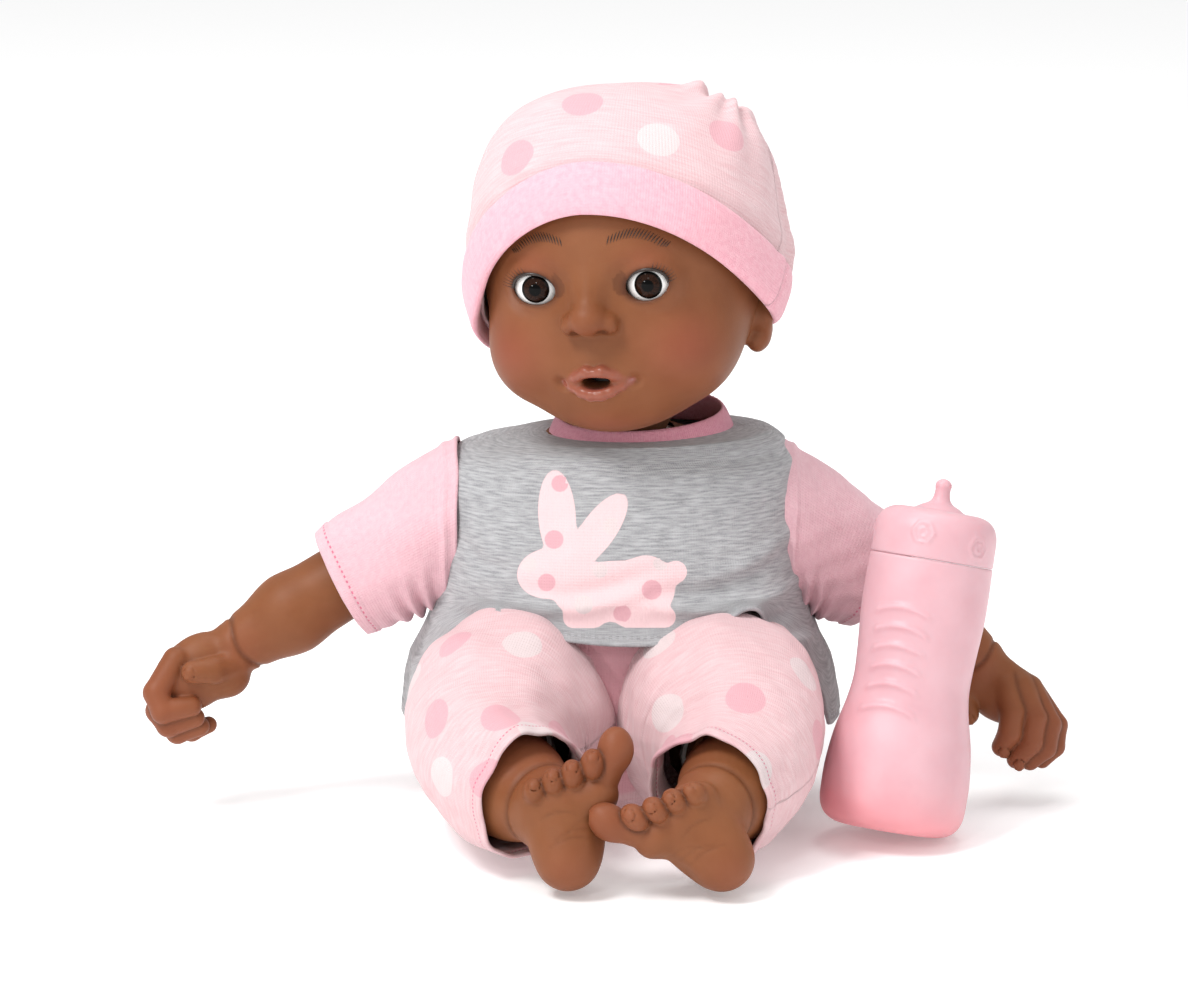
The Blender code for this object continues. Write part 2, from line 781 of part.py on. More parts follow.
def add_leg(side, swing_axis, twist_axis):
    hip, knee, ankle = HIP[side], KNEE[side], ANKLE[side]
    heel, toes = HEEL[side], TOES[side]
    along = (knee - hip).normalized()
    reach = 37 * MM
    neck_radius = 14 * MM
    cloth_root(
        f"{side}_thigh_root",
        hip,
        along,
        HIP_RADIUS,
        reach,
        18.5 * MM,
        (neck_radius + GAP, 13 * MM),
        BODY_CLOTH,
        swing_axis,
    )
    tie_end = hip + along * (reach - 2 * MM)
    shell_tube(
        f"{side}_leg_tie",
        [tie_end - along * 3 * MM, tie_end],
        [18.5 * MM + GAP + 1.4 * MM] * 2,
        1.4 * MM,
        NYLON,
        swing_axis,
    )
    foot_middle = heel.lerp(toes, 0.3)
    path = [
        hip + along * (reach - 11 * MM),
        hip + along * (reach + 0.6 * MM),
        hip + along * (reach + 1.4 * MM),
        knee,
        knee.lerp(ankle, 0.55),
        ankle,
        foot_middle,
    ]
    radii = [neck_radius, neck_radius, 19.6 * MM, 20 * MM, 17.5 * MM, 13.5 * MM, 8 * MM]
    leg = cup_tube(f"{side}_leg", path, radii, 2.6 * MM, SKIN, twist_axis)

    long_way = (toes - heel).normalized()
    wide_way = long_way.cross(Vector((0, -1, 0))).normalized()
    thick_way = wide_way.cross(long_way)
    first = heel - long_way * 9 * MM
    last = toes + long_way * 7 * MM
    rings = []
    steps = len(FOOT_HALF_WIDTH) - 1
    for index, (wide, thick) in enumerate(zip(FOOT_HALF_WIDTH, FOOT_HALF_THICK)):
        centre = first.lerp(last, index / steps)
        rings.append(ring(centre, wide_way * wide * MM, thick_way * thick * MM, LIMB_SIDES))
    foot = loft(f"{side}_foot_joiner", rings, SKIN)
    boolean(leg, foot, "UNION")


# ---------------------------------------------------------------- clothes


def torso_surface(height, turn, grow):
    """Point at a height and a turn about the torso's axis, grow outside the body cloth."""
    sections = [(h * MM, w * MM, d * MM) for h, w, d in TORSO_SECTIONS]
    height_in = min(max(height, sections[0][0]), sections[-1][0])
    for low, high in zip(sections, sections[1:]):
        if height_in <= high[0]:
            share = (height_in - low[0]) / (high[0] - low[0])
            wide = low[1] + (high[1] - low[1]) * share + grow
            deep = low[2] + (high[2] - low[2]) * share + grow
            break
    return Vector((wide * cos(turn), TORSO_CENTRE_Y + deep * sin(turn), height))


def shirt_rings(neck_edge, grow):
    """Rings from the uneven hem up to the neck edge, following the torso's sections."""
    upper = [height * MM for height, _, _ in TORSO_SECTIONS[4:6]] + [neck_edge]
    turns = [2 * pi * k / TORSO_SIDES for k in range(TORSO_SIDES)]
    rings = []
    for row in range(5):
        level = []
        for turn in turns:
            hem = hem_height(turn)
            level.append(torso_surface(hem + (upper[0] - hem) * row / 5, turn, grow))
        rings.append(level)
    for height in upper:
        rings.append([torso_surface(height, turn, grow) for turn in turns])
    return rings


def hem_height(turn):
    """The shirt's hem rides up over the lap and hangs at the sides and the back."""
    forward = -sin(turn)
    if forward > 0:
        return (34 + 42 * forward**2) * MM
    return (34 + 20 * forward) * MM


def add_shirt():
    neck_edge = 128 * MM
    inner = shirt_rings(neck_edge, SHIRT_EASE)
    outer = shirt_rings(neck_edge, SHIRT_EASE + GARMENT)
    shirt = loft("shirt_body", inner + outer[::-1], GREY_KNIT, cyclic=True, sharp=80)
    for side in ("left", "right"):
        for place in ("shoulder", "hip"):
            boolean(shirt, bpy.data.objects[f"{side}_{place}_cutter"])
    bind = []
    for height, wide, deep in ((129, 33, 26), (135, 28, 23)):
        centre = Vector((0, TORSO_CENTRE_Y, height * MM))
        bind.append((centre, wide * MM, deep * MM))
    rings = [ring(c, Vector((w, 0, 0)), Vector((0, d, 0))) for c, w, d in bind]
    thin = GARMENT + 0.4 * MM
    rings += [
        ring(c, Vector((w - thin, 0, 0)), Vector((0, d - thin, 0))) for c, w, d in bind[::-1]
    ]
    loft("neck_binding", rings, PINK_KNIT, cyclic=True)
    strip = []
    for height in (50, 66, 96, 112):
        corners = []
        for turn, thick in ((1.42, 0), (1.72, 0), (1.72, 1.2), (1.42, 1.2)):
            grow = SHIRT_EASE + GARMENT + 2 * GAP + thick * MM
            corners.append(torso_surface(height * MM, turn, grow))
        strip.append(corners)
    loft("shirt_back_closure", strip, GREY_KNIT)


def add_sleeve(side):
    sign = 1 if side == "left" else -1
    shoulder, cuff = SHOULDER[side], CUFF_POINT[side]
    along = (cuff - shoulder).normalized()
    up_end = Vector((0, 1, 0)).cross(along) * -sign
    if up_end.z < 0:
        up_end.negate()
    start = Vector((sign * 68.5 * MM, shoulder.y, 98 * MM))
    rings_out, rings_in = [], []
    for step in range(4):
        share = step / 3
        centre = start.lerp(cuff, share)
        up = Vector((0, 0, 1)).lerp(up_end, share).normalized()
        tall = (28 - 10.2 * share) * MM
        deep = (23 - 5.4 * share) * MM
        rings_out.append(ring(centre, Vector((0, deep, 0)), up * tall, LIMB_SIDES))
        rings_in.append(
            ring(centre, Vector((0, deep - GARMENT, 0)), up * (tall - GARMENT), LIMB_SIDES)
        )
    loft(f"{side}_sleeve", rings_out + rings_in[::-1], PINK_KNIT, cyclic=True, sharp=80)


def add_pants():
    waist = 58 * MM
    heights = [height * MM for height, _, _ in TORSO_SECTIONS[:3]] + [waist]
    turns = [2 * pi * k / TORSO_SIDES for k in range(TORSO_SIDES)]

    def level(height, grow):
        return [torso_surface(height, turn, grow) for turn in turns]

    base = ring(
        Vector((0, TORSO_CENTRE_Y, 0)), Vector((38 * MM, 0, 0)), Vector((0, 26 * MM, 0)), TORSO_SIDES
    )
    outer = [level(height, CLOTH + 2 * GAP) for height in heights]
    seat = loft("pants_seat", [base] + outer, PALE_KNIT, sharp=70)
    room = [level(height, GAP) for height in heights + [waist + 4 * MM]]
    floor = [point - Vector((0, 0, GAP)) for point in room[0]]
    boolean(seat, loft("pants_room_cutter", [floor] + room[1:], FIBRE))
    for side in ("left", "right"):
        boolean(seat, bpy.data.objects[f"{side}_hip_cutter"])


PANT_PATHS = {
    "left": ((35, -41, 36.2), (39, -54, 34), (41, -68, 30.5), (37, -80, 28.5), (29, -90, 27.5)),
    "right": ((-38, -41, 36.2), (-43, -54, 34), (-44, -67, 30.5), (-36, -78, 28.5), (-27, -87, 27.5)),
}
PANT_RADII = ((31.5, 34), (29.5, 31.5), (26.5, 28), (23.5, 25.5), (21.5, 23.5))


def add_pant_leg(side):
    path = [Vector(p) * MM for p in PANT_PATHS[side]]
    radii = [(wide * MM, high * MM) for wide, high in PANT_RADII]
    shell_tube(f"{side}_pant_leg", path, radii, GARMENT, PALE_KNIT, count=18)


# ---------------------------------------------------------------- bottle


def turned(name, profile, look, place, lean, count=20):
    """A solid turned about its own Z from (radius, height) pairs in millimetres, then placed."""
    spin = lean.to_matrix()
    rings = []
    for radius, height in profile:
        level = ring(
            Vector((0, 0, height * MM)),
            Vector((radius * MM, 0, 0)),
            Vector((0, radius * MM, 0)),
            count,
        )
        rings.append([place + spin @ point for point in level])
    return loft(name, rings, look, sharp=50)


def add_bottle():
    wall = BOTTLE_WALL / MM
    inside = [(max(r - wall, 2), h) for r, h in BOTTLE_PROFILE[1:]]
    inside[0] = (inside[0][0] - 4, wall + 1)
    shell = [(r, h) for r, h in inside] + list(BOTTLE_PROFILE[::-1])
    turned("bottle_body", shell, PINK_PLASTIC, BOTTLE_FOOT, BOTTLE_LEAN)
    cap = (
        (3, 109.3),
        (16, 106.6),
        (17.6, 104),
        (17.6, 93),
        (19.4, 93),
        (19.7, 98),
        (19.2, 105.5),
        (15.5, 109.5),
        (7, 111.6),
        (4.4, 113),
        (3.5, 118),
        (1.8, 120.4),
    )
    turned("bottle_cap", cap, PINK_PLASTIC, BOTTLE_FOOT, BOTTLE_LEAN)


def main():
    clear_scene()
    add_torso()
    add_voice_box()
    nod = joint_empty("neck_nod_axis", NECK_BASE)
    turn = joint_empty("head_turn_axis", neck_path()[2])
    add_neck(nod)
    add_head(turn)
    add_mouth_cable()
    add_hat(joint_empty("hat_lift_axis", HEAD_CENTRE))
    for side in ("left", "right"):
        swing = joint_empty(f"{side}_shoulder_axis", SHOULDER[side])
        twist = joint_empty(f"{side}_arm_twist_axis", CUFF_POINT[side])
        add_arm(side, swing, twist)
        hip_swing = joint_empty(f"{side}_hip_axis", HIP[side])
        leg_twist = joint_empty(f"{side}_leg_twist_axis", KNEE[side])
        add_leg(side, hip_swing, leg_twist)
        add_sleeve(side)
        add_pant_leg(side)
    add_shirt()
    add_pants()
    add_bottle()


main()
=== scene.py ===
"""Looks for the seated interactive baby doll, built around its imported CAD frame.

Everything is in metres, in the frame's own axes: +Z up, the doll faces -Y and +X is its own left.
Organic shapes are sculpted as signed distance fields in millimetres and meshed by surface nets.
"""

import bpy
import numpy as np
from mathutils import Euler, Matrix, Vector


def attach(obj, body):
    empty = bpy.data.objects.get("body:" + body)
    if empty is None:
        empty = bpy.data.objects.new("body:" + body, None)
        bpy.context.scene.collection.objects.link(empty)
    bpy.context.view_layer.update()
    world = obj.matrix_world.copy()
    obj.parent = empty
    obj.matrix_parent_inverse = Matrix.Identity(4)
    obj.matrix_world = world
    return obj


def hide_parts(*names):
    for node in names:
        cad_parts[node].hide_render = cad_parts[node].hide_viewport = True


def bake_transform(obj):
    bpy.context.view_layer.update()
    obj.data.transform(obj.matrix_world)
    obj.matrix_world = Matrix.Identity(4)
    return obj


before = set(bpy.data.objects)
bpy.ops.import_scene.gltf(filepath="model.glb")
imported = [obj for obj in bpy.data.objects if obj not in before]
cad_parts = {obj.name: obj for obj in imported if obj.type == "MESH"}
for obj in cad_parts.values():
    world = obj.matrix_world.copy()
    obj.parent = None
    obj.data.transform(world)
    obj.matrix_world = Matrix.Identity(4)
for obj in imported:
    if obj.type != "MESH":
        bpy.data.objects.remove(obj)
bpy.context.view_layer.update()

MM = 0.001
SLOPE_STEP = 0.25  # mm
DRAFT = 1.0
SIDES = (("left", 1), ("right", -1))
WORLD = bpy.context.scene.collection


# ---------------------------------------------------------------- camera, light and floor

CAMERA_AIM = Vector((-0.009, 0.0, 0.1095))
CAMERA_DISTANCE = 2.0
CAMERA_ELEVATION = np.radians(13)
VIEW_WIDTH = 0.407  # metres across the picture at the aim point
SENSOR = 36.0


def add_camera():
    data = bpy.data.cameras.new("camera")
    data.sensor_width = SENSOR
    data.lens = SENSOR * CAMERA_DISTANCE / VIEW_WIDTH
    camera = bpy.data.objects.new("camera", data)
    away = Vector((0, -np.cos(CAMERA_ELEVATION), np.sin(CAMERA_ELEVATION)))
    camera.location = CAMERA_AIM + away * CAMERA_DISTANCE
    camera.rotation_euler = (-away).to_track_quat("-Z", "Y").to_euler()
    WORLD.objects.link(camera)
    bpy.context.scene.camera = camera


def add_light(name, place, aim, size, power):
    data = bpy.data.lights.new(name, "AREA")
    data.shape = "DISK"
    data.size = size
    data.energy = power
    light = bpy.data.objects.new(name, data)
    light.location = place
    light.rotation_euler = (Vector(aim) - Vector(place)).to_track_quat("-Z", "Y").to_euler()
    WORLD.objects.link(light)


def add_studio():
    bpy.context.scene.view_settings.view_transform = "Standard"
    world = bpy.data.worlds.new("studio")
    world.use_nodes = True
    backdrop = world.node_tree.nodes["Background"]
    backdrop.inputs["Color"].default_value = (1, 1, 1, 1)
    backdrop.inputs["Strength"].default_value = 0.66
    bpy.context.scene.world = world
    aim = (0, 0, 0.12)
    add_light("key", (-0.9, -0.75, 1.7), aim, 0.7, 26)
    add_light("fill", (1.2, -1.0, 0.7), aim, 1.2, 3)
    add_light("top", (0.1, 0.3, 1.7), aim, 1.0, 9)
    add_light("sparkle", (-0.42, -1.5, 0.95), aim, 0.11, 2.2)
    add_light("eye_light", (-0.86, -1.16, 0.40), aim, 0.10, 2.2)
    bpy.ops.mesh.primitive_plane_add(size=12, location=(0, 2, -0.0002))
    floor = bpy.context.object
    floor.name = "floor"
    paper = bpy.data.materials.new("floor_paper")
    paper.use_nodes = True
    shader = paper.node_tree.nodes["Principled BSDF"]
    shader.inputs["Base Color"].default_value = (0.93, 0.93, 0.93, 1)
    shader.inputs["Roughness"].default_value = 0.9
    shader.inputs["Specular IOR Level"].default_value = 0.1
    shader.inputs["Emission Color"].default_value = (1, 1, 1, 1)
    shader.inputs["Emission Strength"].default_value = 0.17
    floor.data.materials.append(paper)


add_camera()
add_studio()


# ---------------------------------------------------------------- materials

class Look:
    """A Principled material that is built up node by node."""

    def __init__(self, name, roughness, **settings):
        self.material = bpy.data.materials.new(name)
        self.material.use_nodes = True
        self.tree = self.material.node_tree
        self.shader = self.tree.nodes["Principled BSDF"]
        self.shader.inputs["Roughness"].default_value = roughness
        for key, value in settings.items():
            self.shader.inputs[key.replace("_", " ")].default_value = value

    def node(self, kind, **settings):
        made = self.tree.nodes.new(kind)
        for key, value in settings.items():
            if hasattr(made, key):
                setattr(made, key, value)
            else:
                made.inputs[key.replace("_", " ")].default_value = value
        return made

    def link(self, source, target):
        self.tree.links.new(source, target)

    def coordinates(self, name=None):
        """Place on the piece: a stored point attribute, or the object's own coordinates."""
        if name:
            return self.node("ShaderNodeAttribute", attribute_name=name).outputs["Vector"]
        return self.node("ShaderNodeTexCoord").outputs["Object"]

    def scaled(self, vector, scale):
        mapping = self.node("ShaderNodeMapping")
        mapping.inputs["Scale"].default_value = scale
        self.link(vector, mapping.inputs["Vector"])
        return mapping.outputs["Vector"]

    def noise(self, vector, scale, detail=3.0):
        made = self.node("ShaderNodeTexNoise", Scale=scale, Detail=detail)
        self.link(vector, made.inputs["Vector"])
        return made.outputs["Fac"]

    def wave(self, vector, scale, direction="X", distortion=0.0):
        made = self.node(
            "ShaderNodeTexWave", bands_direction=direction, Scale=scale, Distortion=distortion
        )
        self.link(vector, made.inputs["Vector"])
        return made.outputs["Fac"]

    def attribute(self, name):
        return self.node("ShaderNodeAttribute", attribute_name=name).outputs["Fac"]

    def band(self, value, low, high, first=0.0, last=1.0):
        """Map value from low..high to first..last, clamped."""
        made = self.node("ShaderNodeMapRange")
        self.link(value, made.inputs["Value"])
        limits = {"From Min": low, "From Max": high, "To Min": first, "To Max": last}
        for key, number in limits.items():
            made.inputs[key].default_value = number
        return made.outputs["Result"]

    def mix(self, factor, first, second):
        """Mix two colours, each a tuple or a node's output."""
        made = self.node("ShaderNodeMix", data_type="RGBA")
        if isinstance(factor, (int, float)):
            made.inputs[0].default_value = factor
        else:
            self.link(factor, made.inputs[0])
        for socket, colour in ((6, first), (7, second)):
            if isinstance(colour, tuple):
                made.inputs[socket].default_value = (*colour, 1)
            else:
                self.link(colour, made.inputs[socket])
        return made.outputs[2]

    def math(self, operation, first, second):
        made = self.node("ShaderNodeMath", operation=operation)
        for socket, value in enumerate((first, second)):
            if isinstance(value, (int, float)):
                made.inputs[socket].default_value = value
            else:
                self.link(value, made.inputs[socket])
        return made.outputs[0]

    def colour(self, output):
        self.link(output, self.shader.inputs["Base Color"])

    def bump(self, height, distance, strength=1.0):
        made = self.node("ShaderNodeBump", Distance=distance, Strength=strength)
        self.link(height, made.inputs["Height"])
        self.link(made.outputs["Normal"], self.shader.inputs["Normal"])


SKIN_BASE = (0.190, 0.062, 0.021)
SKIN_LIGHT = (0.225, 0.079, 0.030)
SKIN_ROSE = (0.25, 0.062, 0.034)
# colour of the painted shade in creases and hollows
SKIN_SHADE = (0.075, 0.022, 0.008)
LIP = (0.30, 0.080, 0.058)


def skin_look(name, face=False):
    look = Look(name, 0.5, IOR=1.45, Subsurface_Weight=0.12, Subsurface_Scale=0.004)
    look.shader.inputs["Subsurface Radius"].default_value = (1.0, 0.4, 0.2)
    look.shader.inputs["Specular IOR Level"].default_value = 0.27
    place = look.coordinates("rest_mm")
    mottle = look.noise(place, 0.05, 4)
    tone = look.mix(look.band(mottle, 0.35, 0.65), SKIN_BASE, SKIN_LIGHT)
    tone = look.mix(look.band(look.attribute("rose"), 0, 1, 0, 0.75), tone, SKIN_ROSE)
    # painted shade: the skin is darkened in creases and hollows
    tone = look.mix(look.band(look.attribute("crease"), 0, 1, 0, 0.9), tone, SKIN_SHADE)
    if face:
        tone = look.mix(look.attribute("lip"), tone, LIP)
        rough = look.band(look.attribute("lip"), 0, 1, 0.5, 0.12)
        look.link(rough, look.shader.inputs["Roughness"])
        coat = look.band(look.attribute("lip"), 0.4, 1, 0, 0.9)
        look.link(coat, look.shader.inputs["Coat Weight"])
        look.shader.inputs["Coat Roughness"].default_value = 0.09
    look.colour(tone)
    look.bump(look.noise(place, 2.6, 2), 0.00006, 0.6)
    return look.material


# ---------------------------------------------------------------- signed distance sculpting, mm

def ball(p, centre, radii):
    """Distance to an ellipsoid, negative inside."""
    radii = np.broadcast_to(np.asarray(radii, float), (3,))
    q = (p - np.asarray(centre, float)) / radii
    outer = np.linalg.norm(q, axis=1)
    return outer * (outer - 1) / np.maximum(np.linalg.norm(q / radii, axis=1), 1e-6)


def turned_ball(p, centre, radii, turn):
    """Distance to an ellipsoid whose own axes are the columns of turn."""
    return ball((p - np.asarray(centre, float)) @ np.asarray(turn), (0, 0, 0), radii)


def off_rod(p, start, end):
    """Each point's share of the way from start to end, clamped, and its offset from that place."""
    start, along = np.asarray(start, float), np.asarray(end, float) - np.asarray(start, float)
    share = np.clip((p - start) @ along / (along @ along), 0, 1)
    return share, p - start - share[..., None] * along


def limb(p, start, end, first, last):
    """Distance to a rod with round ends whose radius runs from first to last."""
    share, off = off_rod(p, start, end)
    return np.linalg.norm(off, axis=1) - (first + (last - first) * share)


def join(a, b, soft):
    share = np.clip(0.5 + 0.5 * (b - a) / soft, 0, 1)
    return b + (a - b) * share - soft * share * (1 - share)


def carve(a, b, soft):
    """a with b taken away."""
    return -join(-a, b, soft)


def hill(p, centre, spread):
    """1 at the centre, falling smoothly to 0."""
    return np.exp(-(((p - np.asarray(centre, float)) / spread) ** 2).sum(axis=1))


def field_on_grid(distance, axes):
    """The field on a grid. Only the blocks near the surface are worked out at full detail."""
    block = 4
    counts = [len(axis) for axis in axes]
    coarse_axes = [axis[block // 2 :: block] for axis in axes]
    grid = np.stack(np.meshgrid(*coarse_axes, indexing="ij"), -1)
    coarse = distance(grid.reshape(-1, 3)).reshape(grid.shape[:3])
    for k, count in enumerate(counts):
        coarse = np.take(coarse, np.minimum(np.arange(count) // block, coarse.shape[k] - 1), axis=k)
    step = axes[0][1] - axes[0][0]
    near = np.abs(coarse) < block * step * 1.6
    index = np.nonzero(near)
    places = np.stack([axes[k][index[k]] for k in range(3)], -1)
    coarse[index] = distance(places)
    return coarse


def surface_of(distance, low, high, step):
    """Surface nets: points and quads of the field's zero surface, drawn onto it."""
    axes = [np.arange(l, h + step, step) for l, h in zip(low, high)]
    values = field_on_grid(distance, axes)
    inside = values < 0
    cells = tuple(n - 1 for n in values.shape)
    total = np.zeros((*cells, 3))
    hits = np.zeros(cells)
    for axis in range(3):
        lower = [slice(None)] * 3
        upper = [slice(None)] * 3
        lower[axis], upper[axis] = slice(0, -1), slice(1, None)
        first, second = values[tuple(lower)], values[tuple(upper)]
        crossing = inside[tuple(lower)] != inside[tuple(upper)]
        share = np.where(crossing, first / np.where(crossing, first - second, 1), 0)
        others = [k for k in range(3) if k != axis]
        for u in (0, 1):
            for v in (0, 1):
                part = [slice(None)] * 3
                for other, shift in zip(others, (u, v)):
                    part[other] = slice(shift, shift + cells[other])
                met = crossing[tuple(part)]
                hits += met
                total[..., axis] += np.where(met, share[tuple(part)], 0)
                for other, shift in zip(others, (u, v)):
                    total[..., other] += met * shift
    used = hits > 0
    number = np.full(cells, -1)
    number[used] = np.arange(used.sum())
    at = np.stack(np.nonzero(used), -1)
    points = np.asarray(low) + (at + total[used] / hits[used][:, None]) * step
    quads = []
    for axis in range(3):
        lower = [slice(1, -1)] * 3
        upper = [slice(1, -1)] * 3
        lower[axis], upper[axis] = slice(0, -1), slice(1, None)
        first, second = inside[tuple(lower)], inside[tuple(upper)]
        at = np.stack(np.nonzero(first != second), -1)
        flip = second[tuple(at.T)]
        others = [(axis + 1) % 3, (axis + 2) % 3]
        for other in others:
            at[:, other] += 1
        corners = []
        for shift in ((1, 1), (0, 1), (0, 0), (1, 0)):
            corner = at.copy()
            for other, amount in zip(others, shift):
                corner[:, other] -= amount
            corners.append(number[tuple(corner.T)])
        face = np.stack(corners, -1)
        face[flip] = face[flip][:, ::-1]
        quads.append(face)
    for _ in range(2):
        points -= gradient(distance, points) * distance(points)[:, None] * 0.9
    return points, np.concatenate(quads)


def gradient(distance, points):
    """Unit slope of the field, by central differences."""
    slope = np.empty_like(points)
    for axis in range(3):
        shift = np.zeros(3)
        shift[axis] = SLOPE_STEP
        slope[:, axis] = distance(points + shift) - distance(points - shift)
    return slope / np.maximum(np.linalg.norm(slope, axis=1), 1e-6)[:, None]


def make_mesh(name, points, faces, look, to_world=None, **marks):
    """A mesh object from points in mm. Its resting place is stored for the materials."""
    points = np.asarray(points, float)
    world = points if to_world is None else to_world(points)
    mesh = bpy.data.meshes.new(name)
    corners = [[int(corner) for corner in face] for face in faces]
    mesh.from_pydata(np.asarray(world * MM).tolist(), [], corners)
    mesh.validate()
    mesh.shade_smooth()
    rest = mesh.attributes.new("rest_mm", "FLOAT_VECTOR", "POINT")
    rest.data.foreach_set("vector", points.astype(np.float32).ravel())
    for key, values in marks.items():
        values = np.asarray(values, np.float32)
        if values.ndim == 2:
            stored = mesh.attributes.new(key, "FLOAT_VECTOR", "POINT")
            stored.data.foreach_set("vector", values.ravel())
        else:
            stored = mesh.attributes.new(key, "FLOAT", "POINT")
            stored.data.foreach_set("value", values)
    mesh.materials.append(look)
    made = bpy.data.objects.new(name, mesh)
    WORLD.objects.link(made)
    return made


def full_turn(count):
    """Angles of a circle of points."""
    return 2 * np.pi * np.arange(count) / count


def squared_off(value, power):
    """The value with its sign kept and its size raised to a power below 1, for boxier ovals."""
    return np.sign(value) * np.abs(value) ** power


def grid_faces(rows, columns):
    """Quads of a grid of rows rings with columns points each."""
    i, j = np.meshgrid(np.arange(rows - 1), np.arange(columns), indexing="ij")
    near, far = i.ravel() * columns, (i.ravel() + 1) * columns
    j = j.ravel()
    after = (j + 1) % columns
    return np.stack([near + j, near + after, far + after, far + j], -1)


def ring_faces(section, columns):
    """Quads of a grid that is closed both ways, such as a rolled band."""
    return grid_faces(section + 1, columns) % (section * columns)


# ---------------------------------------------------------------- head

HEAD_CENTRE = np.array((1.0, 4.0, 189.5))
HEAD_TURNED = np.array(Euler(np.radians((4, -5, -15)), "XYZ").to_matrix())
EYE = {side: np.array((sign * 19.5, -35.4, 3.0)) for side, sign in SIDES}
EYE_RADIUS = 9.2
UPPER_LIP = (
    ((-11.6, -45.4, -28.6), 0.9),
    ((-6.6, -48.4, -26.2), 1.7),
    ((-2.6, -50.2, -24.4), 2.1),
    ((0, -50.4, -25.0), 1.8),
    ((2.6, -50.2, -24.4), 2.1),
    ((6.6, -48.4, -26.2), 1.7),
    ((11.6, -45.4, -28.6), 0.9),
)
LOWER_LIP = (
    ((-11.8, -45.2, -28.6), 0.8),
    ((-8.6, -47.2, -30.0), 1.4),
    ((-5.0, -49.0, -31.5), 1.9),
    ((-1.8, -49.8, -32.2), 2.2),
    ((1.8, -49.8, -32.2), 2.2),
    ((5.0, -49.0, -31.5), 1.9),
    ((8.6, -47.2, -30.0), 1.4),
    ((11.8, -45.2, -28.6), 0.8),
)


def head_to_world(points):
    return HEAD_CENTRE + points @ HEAD_TURNED.T


def world_to_head(points):
    return (np.asarray(points, float) - HEAD_CENTRE) @ HEAD_TURNED


def lips(p):
    nearest = None
    for lip in (UPPER_LIP, LOWER_LIP):
        for (start, first), (end, last) in zip(lip, lip[1:]):
            piece = limb(p, start, end, first, last)
            nearest = piece if nearest is None else join(nearest, piece, 0.7)
    return nearest


def skull(p):
    shape = ball(p, (0, 4, 6), (49.6, 51.5, 49.5))
    shape = join(shape, ball(p, (0, -8, -19), (40.0, 36.5, 33.5)), 12)
    for sign in (1, -1):
        shape = join(shape, ball(p, (sign * 21.5, -22, -22), (20.5, 23.5, 19.5)), 9)
    shape = join(shape, ball(p, (0, -27, -38), (21, 17, 12)), 9)
    return shape


def eye_opening(p, side, sign):
    """Distance, in the plane of the face, to the almond between the lids."""
    across = (p[:, 0] - EYE[side][0]) * sign
    up = p[:, 2] - EYE[side][2] - 0.08 * across
    half_height = np.where(up > 0, 5.7, 5.0)
    return (np.sqrt((across / 7.3) ** 2 + (np.abs(up) / half_height) ** 2) - 1) * 5.4


def ear(p, sign):
    out = np.array((sign, 1, 1))
    q = p * out
    lean = np.array(Euler(np.radians((-12, 8, 22))).to_matrix())
    shape = turned_ball(q, (44.6, 11.5, -18.5), (4.0, 9.8, 13.5), lean)
    shape = join(shape, ball(q, (42.4, 7.2, -29), (3.8, 5.6, 5.2)), 3)
    shape = carve(shape, turned_ball(q, (49.6, 10, -17.5), (3.5, 5.8, 8.8), lean), 1.4)
    return join(shape, ball(q, (44.8, 3.8, -21), (3.2, 3.4, 4.4)), 2.5)


def head_distance(p):
    base = skull(p)
    shape = base
    for side, sign in SIDES:
        shape = carve(shape, ball(p, (sign * 16.5, -49, 4), (8, 5.6, 6.5)), 6)
    # muzzle, nose and its wings
    shape = join(shape, ball(p, (0, -38, -26), (16.5, 11, 12)), 7)
    shape = join(shape, limb(p, (0, -43.5, 9), (0, -49.5, -5), 3.0, 4.8), 5)
    shape = join(shape, ball(p, (0, -51.2, -6.4), (6.2, 5.4, 5.0)), 3)
    for sign in (1, -1):
        shape = join(shape, ball(p, (sign * 6.6, -48.4, -8.4), (3.6, 4.0, 3.5)), 2.2)
    for sign in (1, -1):
        shape = carve(shape, ball(p, (sign * 4.7, -52.8, -11.2), (2.1, 3.2, 1.7)), 0.9)
        groove = limb(p, (sign * 10.6, -49.5, -7), (sign * 10.8, -48, -12), 0.5, 0.5)
        shape = carve(shape, groove, 2.2)
    shape = carve(shape, limb(p, (0, -53.6, -15), (0, -52.6, -21), 1.2, 1.5), 1.6)
    # lips round the open mouth, and the dents at its corners and under it
    shape = carve(shape, ball(p, (0, -51.5, -37.5), (9, 4, 2.6)), 4)
    shape = join(shape, lips(p), 1.1)
    for sign in (1, -1):
        shape = carve(shape, ball(p, (sign * 13.0, -47.2, -28.8), (1.5, 2.4, 1.6)), 2.5)
    shape = carve(shape, ball(p, (0, -50, -28.2), (4.9, 16, 2.2)), 0.8)
    # lids over the eyeballs
    for side, sign in SIDES:
        lid = ball(p, EYE[side], EYE_RADIUS + 1.5)
        shape = join(shape, lid, 3.2)
        window = np.maximum(eye_opening(p, side, sign), p[:, 1] - EYE[side][1])
        shape = carve(shape, window, 0.7)
        shape = carve(shape, ball(p, EYE[side], EYE_RADIUS + 0.25), 0.25)
    for sign in (1, -1):
        shape = join(shape, ear(p, sign), 2.5)
    # hollow, with the opening for the neck
    shape = np.maximum(shape, -(base + 3.4))
    neck = world_to_head([(4.0, 8.0, 126), (5.2, 6, 156)])
    return carve(shape, limb(p, neck[0], neck[1], 15, 15), 1.5)


